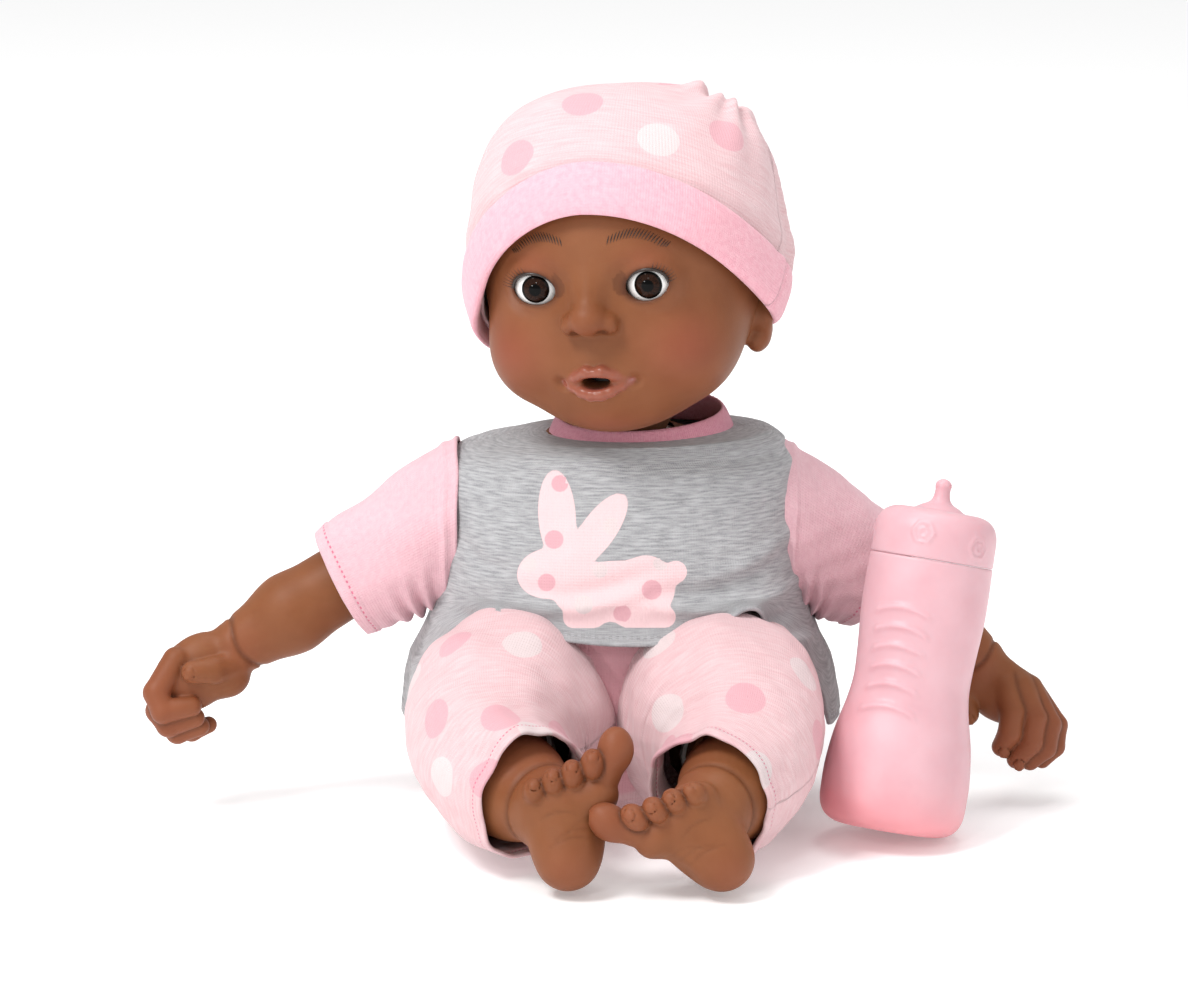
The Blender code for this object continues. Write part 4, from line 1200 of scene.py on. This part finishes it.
def swept(path, radii, steps, columns, side_way):
    """Rows of points round a path. Radii are pairs: across, along side_way, and up."""
    middle, ahead, share = path_frames(path, steps)
    radii = np.asarray(radii, float)
    knots = np.linspace(0, 1, len(radii))
    across = smooth_curve(share, knots, radii[:, 0])
    tall = smooth_curve(share, knots, radii[:, 1])
    side = side_way - (ahead @ np.asarray(side_way, float))[:, None] * ahead
    side = unit_rows(side)
    up = np.cross(side, ahead)
    up *= np.where(up[:, 2:] < 0, -1, 1)
    turn = full_turn(columns)
    points = middle[:, None] + side[:, None] * (across[:, None] * np.cos(turn))[..., None]
    points = points + up[:, None] * (tall[:, None] * np.sin(turn))[..., None]
    return points, middle, share


CUFF_POINT = {"left": (89.0, 17.0, 77.0), "right": (-94.0, 6.0, 79.0)}
SLEEVE_START = {"left": (56.0, 13.0, 99.0), "right": (-56.0, 9.0, 99.5)}


def add_sleeve(side, sign):
    start, end = np.array(SLEEVE_START[side]), np.array(CUFF_POINT[side])
    along = end - start
    rows, columns = 90, 130
    share = np.linspace(0, 1, rows)
    middle = start + share[:, None] * along * 1.04
    upright = np.array((0.0, 0.0, 1.0))
    leaning = np.cross((0, 1, 0), unit(along)) * -sign
    up = unit_rows(upright + smooth(share, 0, 1)[:, None] * (leaning - upright))
    tall = np.interp(share, (0, 0.5, 1), (28.5, 23.6, 18.9))
    deep = np.interp(share, (0, 0.5, 1), (24.5, 21.6, 18.6))
    circle = full_turn(columns)
    points = middle[:, None] + up[:, None] * (tall[:, None] * np.sin(circle))[..., None]
    points[..., 1] += deep[:, None] * np.cos(circle)
    turn = full_turn(columns)[None, :]
    normal = grid_normals(points, middle[:, None])
    share = share[:, None]
    under = smooth(-np.sin(turn), 0.1, 0.9)
    wrinkles = np.sin(34 * share + 3 * np.cos(turn))
    shift = 1.5 * under * wrinkles * bell(share - 0.4, 0.3)
    shift += 0.8 * ripple(points, 31 + sign, 26) + 0.2 * ripple(points, 7 + sign, 9)
    shift += 0.5 * smooth(share, 0.885, 0.90) + 0.8 * bell(share - 0.10, 0.03)
    points = points + normal * shift[..., None]
    length = np.linalg.norm(np.diff(middle, axis=0), axis=1).sum()
    sleeve = cloth(
        f"{side}_sleeve_knit",
        points,
        middle[:, None],
        knit_look(
            f"pink_knit_{side}_sleeve",
            (0.67, 0.39, 0.44),
            (0.71, 0.45, 0.49),
            streak=(0.5, 0.5, 1),
            stitch=STITCH_PINK,
            rows=(3.9,),
        ),
        weave=weave_of(points),
        edge_mm=(1 - share) * length + 0 * turn,
    )
    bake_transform(sleeve)
    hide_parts(f"{side}_sleeve")


PANT_PATHS = {
    "left": (
        (30, 2, 34),
        (32.5, -22, 38),
        (35, -41, 39),
        (38, -54, 37),
        (38.5, -67, 33.5),
        (35.5, -79, 30.5),
        (30, -90.5, 28.5),
    ),
    "right": (
        (-31, 2, 34),
        (-35, -22, 38),
        (-39, -41, 39),
        (-42, -53, 37),
        (-41.5, -66, 33.5),
        (-37, -77.5, 30.5),
        (-29.5, -88, 28.5),
    ),
}
PANT_RADII = (  # across and up, at the same places
    (31, 33), (34.5, 37), (35.5, 38.5), (33.5, 35.5), (28.5, 30), (24, 25.4), (21.4, 22.8)
)
FLOOR_GAP = 0.5
DOT_RADIUS = 6.8
# pink dots, then white: across and up in the front view, on its near (1) or far (-1) side
TROUSER_DOTS = {
    "left": (
        ((41, 38, 1), (66, 24, 1), (20, 18, 1))
        + ((52, 52, -1), (24, 34, -1), (44, 12, -1), (62, 36, -1)),
        ((12, 56, 1), (15, 33, 1), (62, 46, 1), (44, 14, 1))
        + ((36, 50, -1), (34, 22, -1), (58, 16, -1)),
    ),
    "right": (
        ((-57, 57, 1), (-62, 31, 1), (-40, 32, 1), (-41, 10, 1))
        + ((-48, 52, -1), (-26, 34, -1), (-46, 12, -1)),
        ((-33, 56, 1), (-72, 44, 1), (-60, 12, 1), (-30, 18, 1))
        + ((-34, 50, -1), (-62, 26, -1), (-56, 40, -1)),
    ),
}


def dots_seen(points, normal, places):
    """The surface points at these places of the front view, on the front or the far side."""
    view = np.array((0, -np.cos(VIEW_TILT), np.sin(VIEW_TILT)))
    up = np.array((0, np.sin(VIEW_TILT), np.cos(VIEW_TILT)))
    facing, height = (normal @ view).ravel(), (points @ up).ravel()
    found = []
    for x, tall, front in places:
        away = np.hypot(points[..., 0].ravel() - x, height - tall)
        away = away + 40 * (facing * front < 0.1)
        found.append((points.reshape(-1, 3)[np.argmin(away)], DOT_RADIUS))
    return found


def add_pant_leg(side, sign):
    rows, columns = 130, 170
    points, middle, share = swept(PANT_PATHS[side], PANT_RADII, rows, columns, (1, 0, 0))
    turn = full_turn(columns)[None, :]
    normal = grid_normals(points, middle[:, None])
    share = share[:, None]
    shift = 0.9 * ripple(points, 41 + sign, 30) + 0.2 * ripple(points, 17 + sign, 10)
    knee = bell(share - 0.68, 0.16)
    wrinkles = np.sin(38 * share + 2.4 * np.sin(turn + sign))
    shift += 0.45 * knee * wrinkles * smooth(np.cos(turn) * -sign, -0.2, 0.8)
    near_cuff = smooth(share, 0.72, 1.0)
    shift += near_cuff * (0.35 * np.sin(7 * turn + 1 + sign) + 0.2 * np.sin(12 * turn))
    shift += 0.4 * smooth(share, 0.955, 0.963)
    hip_fold = bell(share - 0.30 - 0.05 * np.sin(2 * turn), 0.025)
    shift -= 1.6 * hip_fold * smooth(np.sin(turn), -0.3, 0.4)
    points = points + normal * shift[..., None]
    # cloth that would sink into the floor is squashed just above it
    height = points[..., 2]
    squashed = FLOOR_GAP + 3.5 * np.exp((height - 4) / 3.5)
    points[..., 2] = np.where(height < 4, squashed, height)
    length = np.linalg.norm(np.diff(middle, axis=0), axis=1).sum()
    pink_dots, white_dots = [dots_seen(points, normal, places) for places in TROUSER_DOTS[side]]

    leg = cloth(
        f"{side}_trouser_leg_knit",
        points,
        middle[:, None],
        knit_look(f"pale_heather_{side}_leg", PALE, PALE_LIGHT, dots=True, stitch=STITCH_PINK),
        weave=weave_of(points),
        edge_mm=(1 - share) * length + 0 * turn,
        pink_dot=dot_distance(points, pink_dots),
        white_dot=dot_distance(points, white_dots),
    )
    bend_start, bend_end = (sign * 0.032, -0.006, 0.034), (sign * 0.036, -0.036, 0.034)
    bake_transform(leg)
    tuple(bend_start)
    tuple(bend_end)
    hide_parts(f"{side}_pant_leg")


def add_pants_seat():
    rows, columns = 70, 200
    heights = np.array((72, 56, 38, 24, 14, 7, 3, 1.2, 0.5, 0.4, 0.4))
    half_widths = np.array((57.5, 60.5, 64.5, 64.5, 60, 54, 48.5, 44, 38, 20, 1.0))
    half_depths = np.array((43.5, 45, 46, 45, 41.5, 37, 33, 30, 26, 14, 0.7))
    places = np.linspace(0, 1, rows)
    knots = np.concatenate([[0], np.cumsum(np.hypot(np.diff(heights), np.diff(half_widths)))])
    knots /= knots[-1]
    height = np.interp(places, knots, heights)[:, None]
    wide = np.interp(places, knots, half_widths)[:, None]
    deep = np.interp(places, knots, half_depths)[:, None]
    turn = full_turn(columns)[None, :]
    points = np.stack([wide * np.cos(turn), 10 + deep * np.sin(turn), height + 0 * turn], -1)
    normal = grid_normals(points, TORSO_MIDDLE * (1, 1, 0.6))
    off_floor = smooth(height, 1.0, 12)
    shift = off_floor * (0.8 * ripple(points, 55, 30) + 0.25 * ripple(points, 2, 9))
    points = points + normal * shift[..., None]
    rng = np.random.default_rng(5)
    pink, white = [], []
    for k in range(14):
        row, column = int(rows * rng.uniform(0.05, 0.5)), int(columns * ((k * 0.382) % 1))
        (pink if k % 2 else white).append((points[row, column], DOT_RADIUS))
    # painted shade: deeper pink between the legs, where the trousers are in shade, and no white
    # dots there
    crotch_shade = np.hypot(points[..., 0] / 17, (points[..., 2] - 46) / 34) - 1
    crotch_shade = np.where(points[..., 1] < -15, crotch_shade, 9.0)
    seat = cloth(
        "trouser_seat_knit",
        points,
        TORSO_MIDDLE * (1, 1, 0.6),
        knit_look("pale_heather_seat", PALE, PALE_LIGHT, dots=True),
        weave=weave_of(points),
        pink_dot=np.minimum(dot_distance(points, pink), 8 * crotch_shade),
        white_dot=np.maximum(dot_distance(points, white), -8 * crotch_shade),
    )
    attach(seat, "torso")
    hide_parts("pants_seat")


# ---------------------------------------------------------------- vinyl arms and legs

SHOULDER = {"left": (51, 14, 101), "right": (-51, 8, 102)}
WRIST = {"left": (125, 12, 47), "right": (-133, -2, 56)}
FIST = {"left": (138, 8, 29), "right": (-149, -7, 46)}
HIP = {"left": (33, -14, 32.5), "right": (-33, -14, 32.5)}
KNEE = {"left": (44, -66, 31), "right": (-46, -64, 31)}
ANKLE = {"left": (30, -98, 27), "right": (-25, -97, 27)}
HEEL = {"left": (32.6, -112, 13.6), "right": (-17.6, -109.5, 13.2)}
FOOT_AHEAD = {"left": (-0.74, 0.00, 0.66), "right": (0.02, 0.16, 1.0)}
# knuckle, two joints and tip of each finger: along the hand, to the palm, to the front
RIGHT_FINGERS = (
    ((19, -8.5, 3.5), (31, -3.5, 5.5), (32.5, 3.0, 7.2), (23.5, 6.8, 8.4)),
    ((21, -4, -1), (33.5, 2.8, 1.6), (33.5, 8.6, 3.6), (24.5, 11.4, 4.8)),
    ((21, 1, -5), (32.0, 8.6, -2.6), (32.0, 13.2, -0.6), (24.5, 15.6, 1.0)),
    ((19, 4, -8.5), (28.0, 12.4, -6.6), (27.5, 16.4, -4.6), (21.5, 17.6, -2.8)),
)
RIGHT_THUMB = ((3, 4, 5.5), (10.5, 0.5, 10), (17, -3.2, 10.6))
LEFT_FINGERS = (
    ((11, -3, 4), (19.5, -0.2, 6.8), (25, 4.6, 7.0), (27.5, 10.0, 5.2)),
    ((14, -7, 2), (26, -4.8, 4.6), (32, 0.8, 5.6), (34.0, 8.4, 4.4)),
    ((17, -9, -2), (31, -7.4, 0.4), (36.5, -1.8, 2.0), (37.5, 5.2, 1.4)),
    ((18, -9, -6), (33.0, -9.0, -4.6), (38.6, -4.2, -3.4), (40.0, 2.0, -2.8)),
)
LEFT_THUMB = ((0.5, 8, 1.5), (6, 11.5, 4), (11.5, 13.0, 5.5))


def flat_rod(p, start, end, radius):
    """Distance to a cylinder with flat ends."""
    start, along = np.asarray(start, float), np.asarray(end, float) - np.asarray(start, float)
    length = np.linalg.norm(along)
    along = along / length
    share = (p - start) @ along
    away = np.linalg.norm(p - start - share[:, None] * along, axis=1) - radius
    return np.maximum(away, np.maximum(-share, share - length))


def frame_towards_front(ahead, flip):
    """Columns: ahead, across and the direction that faces the front of the doll."""
    ahead = unit(ahead)
    front = np.array((0.0, -1.0, 0.0))
    front = unit(front - (front @ ahead) * ahead)
    return np.stack([ahead, np.cross(ahead, front) * flip, front], -1)


def crease_between(distances):
    """1 where two neighbouring fingers or toes meet, on the surface, for the painted shade there.
    """
    nearest, second = np.sort(np.stack(distances), axis=0)[:2]
    return bell(second - nearest, 1.2) * bell(np.maximum(second, 0), 1.2)


def nail(shape, q, place, facing, size):
    """A nail plate with a fine groove round it."""
    facing = unit(facing)
    side = unit(np.cross(facing, (1, 0.2, 0)))
    turn = np.stack([np.cross(side, facing), side, facing], -1)
    plate = turned_ball(q, place, (size * 1.15, size, 0.75), turn)
    groove = np.abs(turned_ball(q, place, (size * 1.25, size * 1.1, 1.6), turn)) - 0.12
    shape = carve(shape, groove, 0.35)
    return join(shape, plate, 0.25)


def fingers_of(q, side):
    fingers, thumb = (LEFT_FINGERS, LEFT_THUMB) if side == "left" else (RIGHT_FINGERS, RIGHT_THUMB)
    found = []
    for index, (knuckle, joint, last_joint, tip) in enumerate(fingers):
        thin = (0, 0.1, 0.2, 0.6)[index]
        first = limb(q, knuckle, joint, 4.8 - thin, 4.4 - thin)
        finger = join(first, limb(q, joint, last_joint, 4.4 - thin, 4.2 - thin), 0.8)
        found.append(join(finger, limb(q, last_joint, tip, 4.2 - thin, 3.5 - thin), 0.8))
    first = limb(q, thumb[0], thumb[1], 5.0, 4.5)
    found.append(join(first, limb(q, thumb[1], thumb[2], 4.5, 3.9), 1.2))
    return found


def hand_distance(q, side):
    if side == "left":
        shape = ball(q, (10, 0, 0), (13, 10.5, 8))
        shape = join(shape, ball(q, (17, -3.5, -1.5), (10, 9.5, 8)), 3)
        shape = join(shape, ball(q, (3, 6, 1), (8, 7, 7)), 3)
        nails = ((LEFT_FINGERS[0][3], (0.5, 0.1, 1)), (LEFT_FINGERS[1][3], (0.5, 0.1, 1)))
        nails += ((LEFT_THUMB[2], (0.3, 0.2, 1)),)
    else:
        shape = ball(q, (13, -0.5, 0), (14.5, 12, 8.6))
        shape = join(shape, ball(q, (20, 0, -2), (10.5, 11, 9)), 3)
        shape = join(shape, ball(q, (7, 6, 3), (8, 7.5, 7)), 3)
        nails = ((RIGHT_THUMB[2], (0.35, -0.25, 1)),)
    for finger in fingers_of(q, side):
        shape = join(shape, finger, 1.0)
    for place, facing in nails:
        shape = nail(shape, q, np.array(place) + unit(facing) * 3.2 + (0.8, 0, 0), facing, 2.0)
    return shape


def from_wrist_fold(q):
    """Distance along the hand from the curved fold round the wrist."""
    return q[:, 0] + 0.5 + 0.045 * q[:, 1] ** 2


def add_arm(side, sign):
    shoulder, cuff = np.array(SHOULDER[side], float), np.array(CUFF_POINT[side])
    wrist, fist = np.array(WRIST[side], float), np.array(FIST[side], float)
    along = unit(cuff - shoulder)
    reach = np.linalg.norm(cuff - shoulder) - 8
    neck_start, flange = shoulder + along * (reach - 10), shoulder + along * (reach + 0.8)
    forearm = unit(wrist - cuff)
    frame_ = frame_towards_front(fist - wrist, sign)
    middle = cuff + (wrist - cuff) * 0.5

    def distance(p):
        q = (p - wrist) @ frame_
        upper = flat_rod(p, flange, flange + along * 6, 13.2)
        near, far = limb(p, cuff + forearm * 2, middle, 13.0, 13.4), wrist - forearm
        arm = join(near, limb(p, middle, far, 13.4, 9.6), 4)
        arm = join(arm, upper, 3)
        arm = np.maximum(arm, -((p - flange) @ along))
        arm = np.minimum(arm, flat_rod(p, neck_start, flange + along, 9.3))
        hand = hand_distance(q, side)
        shape = join(arm, hand, 2.2)
        groove = np.hypot(from_wrist_fold(q), np.maximum(np.abs(shape) - 0.3, 0))
        return shape + 0.75 * bell(groove, 0.8)

    ends = np.stack([neck_start, flange, wrist, fist, fist + (fist - wrist) * 0.9])
    points, faces = surface_of(distance, ends.min(0) - 19, ends.max(0) + 19, 0.8 * DRAFT)
    q = (points - wrist) @ frame_
    # painted shade between the fingers and in the wrist fold
    crease = crease_between(fingers_of(q, side)) * 0.75
    crease += 0.6 * bell(from_wrist_fold(q), 0.9) * (q[:, 0] < 6)
    rose = 0.5 * smooth(q[:, 0], 8, 34) + 0.35 * hill(q, (-2, 0, 8), (9, 9, 9))
    arm = make_mesh(
        f"{side}_arm_sculpt",
        points,
        faces,
        skin_look(f"doll_skin_{side}_arm"),
        rose=np.clip(rose, 0, 1),
        crease=np.clip(crease, 0, 1),
    )
    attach(arm, f"{side}_forearm")
    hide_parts(f"{side}_arm")


TOES = (  # place on the foot: along it, towards the big toe, towards the sole; then radii
    ((22.0, -11.4, 4.4), (4.3, 3.7, 4.2)),
    ((25.3, -5.4, 5.0), (4.6, 3.7, 4.4)),
    ((28.0, 0.9, 5.3), (4.9, 3.8, 4.5)),
    ((31.3, 7.4, 5.0), (5.2, 4.0, 4.6)),
)
BIG_TOE = ((23.5, 10.0, 0.5), (36.0, 15.0, 1.8))
SOLE_LINES = (
    ((4, -6), (7.5, 7)),
    ((6.5, -4), (10.5, 8)),
    ((9.5, 0), (13.5, 9)),
    ((13, -9), (15.5, 2)),
)


def toes_of(q):
    root, tip = BIG_TOE
    found = [join(limb(q, root, tip, 5.4, 5.2), ball(q, tip, (7.6, 5.9, 5.6)), 1.5)]
    for place, radii in TOES:
        place = np.array(place)
        root = place - (6.5, 0.1 * place[1], 6.0)
        found.append(join(limb(q, root, place, 3.8, 3.3), ball(q, place, radii), 1.0))
    return found


def sole_lines(q):
    """How close a point is to the fine creases across the sole."""
    total = np.zeros(len(q))
    for start, end in SOLE_LINES:
        share, off = off_rod(q[:, :2], start, end)
        bow = np.stack([1.6 * np.sin(np.pi * share), 0 * share], -1)
        away = np.linalg.norm(off - bow, axis=1)
        total += bell(away, 0.5) * np.sin(np.pi * np.clip(share, 0.1, 0.9))
    return total * (q[:, 2] > 2)


def foot_distance(q):
    shape = ball(q, (0, 0, 0), (11.2, 11.0, 10.5))
    shape = join(shape, ball(q, (9, -0.8, -0.8), (12.5, 13.2, 9.2)), 5)
    shape = join(shape, ball(q, (18.5, -1.5, -0.3), (9.0, 14.8, 7.8)), 4)
    shape = join(shape, ball(q, (21, 8.5, 0.5), (7.5, 7.8, 7.4)), 3)
    shape = join(shape, ball(q, (12, -2, -9), (13, 10, 7)), 5)
    shape = carve(shape, ball(q, (8, 14.5, 6), (7, 4, 4)), 5)
    for toe in toes_of(q):
        shape = join(shape, toe, 0.6)
    for place, radii in TOES:
        shape = nail(shape, q, np.array(place) + (2.7, 0, radii[2] - 1.3), (0.75, 0, 1), 1.9)
    shape = nail(shape, q, (37.0, 13.8, -3.6), (0.4, 0, -1), 2.8)
    return shape + 0.45 * sole_lines(q)


def add_leg(side, sign):
    hip, knee = np.array(HIP[side], float), np.array(KNEE[side], float)
    ankle, heel = np.array(ANKLE[side], float), np.array(HEEL[side], float)
    along = unit(knee - hip)
    neck_start, flange = hip + along * 26, hip + along * 38
    frame_ = frame_towards_front(FOOT_AHEAD[side], -sign)
    calf, instep = (knee + ankle) / 2, heel + frame_ @ np.array((13, -1, -7))

    def distance(p):
        q = (p - heel) @ frame_
        shin = join(limb(p, knee, calf, 19.2, 17.4), limb(p, calf, ankle, 17.4, 13.4), 4)
        shin = join(shin, flat_rod(p, flange, flange + along * 6, 19), 2)
        shin = np.maximum(shin, -((p - flange) @ along))
        shin = np.minimum(shin, flat_rod(p, neck_start, flange + along, 13.9))
        shin = join(shin, limb(p, ankle, instep, 12.6, 8.0), 4)
        shape = join(shin, foot_distance(q), 4)
        fold = np.hypot((p - ankle) @ unit(ankle - knee) + 2, np.maximum(np.abs(shape) - 0.3, 0))
        return shape + 0.7 * bell(fold, 1.1)

    ends = np.stack([neck_start, knee, heel, heel + frame_ @ np.array((26, 0, 0))])
    low = ends.min(0) - 24
    low[2] = -3
    points, faces = surface_of(distance, low, ends.max(0) + 24, 0.8 * DRAFT)
    q = (points - heel) @ frame_
    # painted shade between the toes, in the sole lines and in the ankle fold
    crease = crease_between(toes_of(q)) + 0.45 * sole_lines(q)
    crease += 0.5 * bell((points - ankle) @ unit(ankle - knee) + 2, 1.2)
    rose = 0.45 * smooth(q[:, 0], 14, 36) + 0.4 * hill(q, (-4, 0, 8), (9, 9, 7))
    leg = make_mesh(
        f"{side}_leg_sculpt",
        points,
        faces,
        skin_look(f"doll_skin_{side}_leg"),
        rose=np.clip(rose, 0, 1),
        crease=np.clip(crease, 0, 1),
    )
    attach(leg, f"{side}_shin")
    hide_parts(f"{side}_leg")


# ---------------------------------------------------------------- toy bottle

BOTTLE_FOOT = np.array((90.5, -47.0, 4.2))
BOTTLE_TURN = np.array(Euler((np.radians(-13), np.radians(9.5), 0)).to_matrix())
BOTTLE_PROFILE = (  # radius and height
    (24.6, 0), (24.8, 9), (25, 19), (23.6, 31), (20.8, 42), (19.6, 50), (20.1, 60), (21.2, 74),
    (21.2, 84), (20.9, 94), (20.7, 112),
)
CAP_SEAM = 92.8
RIDGES = (42, 49.5, 56, 62.5, 69, 75.5)  # heights of the finger ridges
RIDGE_TURN, RIDGE_REACH = -0.44, 0.56
CAP_RELIEFS = ((0.70, 99.0), (-0.30, 101.5), (2.4, 100), (-1.9, 100))
BOTTLE_PINK = (0.64, 0.36, 0.40)
BOTTLE_LIGHT = (0.68, 0.41, 0.45)
# deeper pink of the painted shade on the bottle
BOTTLE_SHADE = (0.76, 0.20, 0.22)


def bottle_place(points):
    return BOTTLE_FOOT + points @ BOTTLE_TURN.T


def turned_distance(p):
    """Distance to the smooth outline of body and cap together, with its slope."""
    heights = np.arange(-6.0, 126.0, 0.5)
    knots = np.array(BOTTLE_PROFILE)
    radii = np.interp(heights, knots[:, 1], knots[:, 0])
    kernel = bell(np.arange(-16, 17), 8)
    radii = np.convolve(np.pad(radii, 16, mode="edge"), kernel / kernel.sum(), mode="valid")
    slope = np.gradient(radii, 0.5)
    radius = np.interp(p[:, 2], heights, radii)
    lean = np.sqrt(1 + np.interp(p[:, 2], heights, slope) ** 2)
    return (np.hypot(p[:, 0], p[:, 1]) - radius) / lean


def body_distance(p):
    shape = -join(-turned_distance(p), p[:, 2], 10)
    turn = np.arctan2(p[:, 0], -p[:, 1]) - RIDGE_TURN
    shown = 1 - smooth(np.abs(turn), 0.7 * RIDGE_REACH, RIDGE_REACH)
    for height in RIDGES:
        away = p[:, 2] - height + 3.4 * (turn / RIDGE_REACH) ** 2
        shape = shape - shown * bell(away, 1.15) * (np.hypot(p[:, 0], p[:, 1]) > 12)
    return -join(-shape, -(p[:, 2] - CAP_SEAM + 0.12), 0.6)


def cap_distance(p):
    shape = -join(-turned_distance(p), -(p[:, 2] - 109.6), 9)
    shape = -join(-shape, p[:, 2] - CAP_SEAM, 0.5)
    turn = np.arctan2(p[:, 0], -p[:, 1])
    for middle, height in CAP_RELIEFS:
        across = np.angle(np.exp(1j * (turn - middle))) * 20.6
        rise = p[:, 2] - height
        angles = np.pi / 6 + np.pi / 3 * np.arange(3)
        hexagon = np.max([np.abs(across * np.cos(a) + rise * np.sin(a)) for a in angles], axis=0)
        rings = bell(hexagon - 3.3, 0.5) + bell(np.hypot(across, rise) - 1.5, 0.45)
        shape = shape - 0.55 * rings
    stem = limb(p, (0, 0, 110), (0, 0, 118.0), 3.3, 2.4)
    nipple = join(ball(p, (0, 0, 109.0), (8.0, 8.0, 3.4)), stem, 2.5)
    nipple = join(nipple, ball(p, (0, 0, 118.2), (2.8, 2.8, 2.0)), 0.8)
    return join(shape, nipple, 1.5)


def bottle_look(name):
    look = Look(name, 0.42, Subsurface_Weight=0.25, Subsurface_Scale=0.006)
    look.shader.inputs["Subsurface Radius"].default_value = (1.0, 0.35, 0.35)
    place = look.coordinates("rest_mm")
    tone = look.mix(look.band(look.noise(place, 0.06, 3), 0.35, 0.65), BOTTLE_PINK, BOTTLE_LIGHT)
    # painted shade: deeper pink towards the floor and on the side that faces the doll
    tone = look.mix(look.band(look.attribute("depth"), 0, 1, 0, 0.85), tone, BOTTLE_SHADE)
    look.colour(tone)
    look.bump(look.noise(place, 3.0, 2), 0.00003, 0.4)
    return look.material


def add_bottle():
    for name, distance, low, high in (
        ("bottle_body", body_distance, (-27, -27, -2), (27, 27, 95)),
        ("bottle_cap", cap_distance, (-24, -24, 90), (24, 24, 123)),
    ):
        points, faces = surface_of(distance, low, high, 0.75 * DRAFT)
        # painted shade, stronger towards the floor and on the lower side that faces the doll
        low_down = 1 - smooth(points[:, 2], -4, 30)
        aside = smooth(-points[:, 0], 6, 26) * (1 - smooth(points[:, 2], 20, 62))
        depth = np.clip(0.75 * low_down**1.6 + 0.25 * aside, 0, 1)
        look = bottle_look(f"{name}_plastic")
        piece = make_mesh(
            f"{name}_sculpt", points, faces, look, to_world=bottle_place, depth=depth
        )
        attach(piece, "bottle")
        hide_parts(name)


# ---------------------------------------------------------------- looks of the carried-over solids

FINISHES = {  # nodes, two colours, roughness, metal, grain in metres
    "battery_jacket": (
        "battery_1 battery_2 battery_3",
        (0.03, 0.035, 0.04), (0.05, 0.055, 0.065), 0.35, 0, 0.004,
    ),
    "plated_steel": (
        "case_screw_1 case_screw_2 case_screw_3 case_screw_4 door_screw upper_battery_contact "
        "lower_battery_contact speaker_magnet",
        (0.50, 0.49, 0.47), (0.62, 0.61, 0.58), 0.3, 1, 0.002,
    ),
    "green_board": ("circuit_board", (0.02, 0.14, 0.06), (0.03, 0.20, 0.09), 0.45, 0, 0.003),
    "paper_cone": ("speaker_cone", (0.05, 0.05, 0.052), (0.09, 0.088, 0.085), 0.85, 0, 0.002),
    "nylon_tie": (
        "neck_tie left_arm_tie right_arm_tie left_leg_tie right_leg_tie",
        (0.60, 0.59, 0.56), (0.70, 0.69, 0.66), 0.42, 0, 0.003,
    ),
    "black_plastic": (
        "mouth_plunger mouth_switch_cable power_switch_knob",
        (0.02, 0.02, 0.022), (0.04, 0.04, 0.042), 0.4, 0, 0.002,
    ),
    "brown_body_cloth": (
        "torso_cover pocket_flap neck_stub left_arm_root right_arm_root "
        "left_thigh_root right_thigh_root",
        (0.15, 0.055, 0.022), (0.20, 0.078, 0.034), 0.92, 0, 0.0015,
    ),
    "polyester_fibre": ("torso_stuffing", (0.76, 0.76, 0.75), (0.86, 0.86, 0.85), 0.95, 0, 0.005),
    "white_case_plastic": (
        "voice_box_front voice_box_back battery_door tummy_button mouth_switch_holder",
        (0.74, 0.73, 0.70), (0.79, 0.78, 0.75), 0.5, 0, 0.004,
    ),
    "silicone_rubber": ("tummy_dome", (0.45, 0.45, 0.46), (0.52, 0.52, 0.53), 0.6, 0, 0.003),
}


def finish_the_rest():
    """Every solid that is carried over gets a procedural finish of its own kind."""
    for kind, (nodes, low, high, rough, metal, grain) in FINISHES.items():
        look = Look(kind, rough, Metallic=float(metal))
        cells = look.noise(look.coordinates(), 1 / grain, 3)
        look.colour(look.mix(look.band(cells, 0.3, 0.7), low, high))
        look.bump(cells, 0.00005, 0.5)
        for node in nodes.split():
            mesh = bpy.data.objects[node].data
            mesh.materials.clear()
            mesh.materials.append(look.material)


add_head()
add_face()
add_hat_crown()
add_hat_cuff()
add_shirt()
add_neck_band()
add_pants_seat()
for side, sign in SIDES:
    add_sleeve(side, sign)
    add_pant_leg(side, sign)
    add_arm(side, sign)
    add_leg(side, sign)
add_bottle()
finish_the_rest()

bpy.context.view_layer.update()
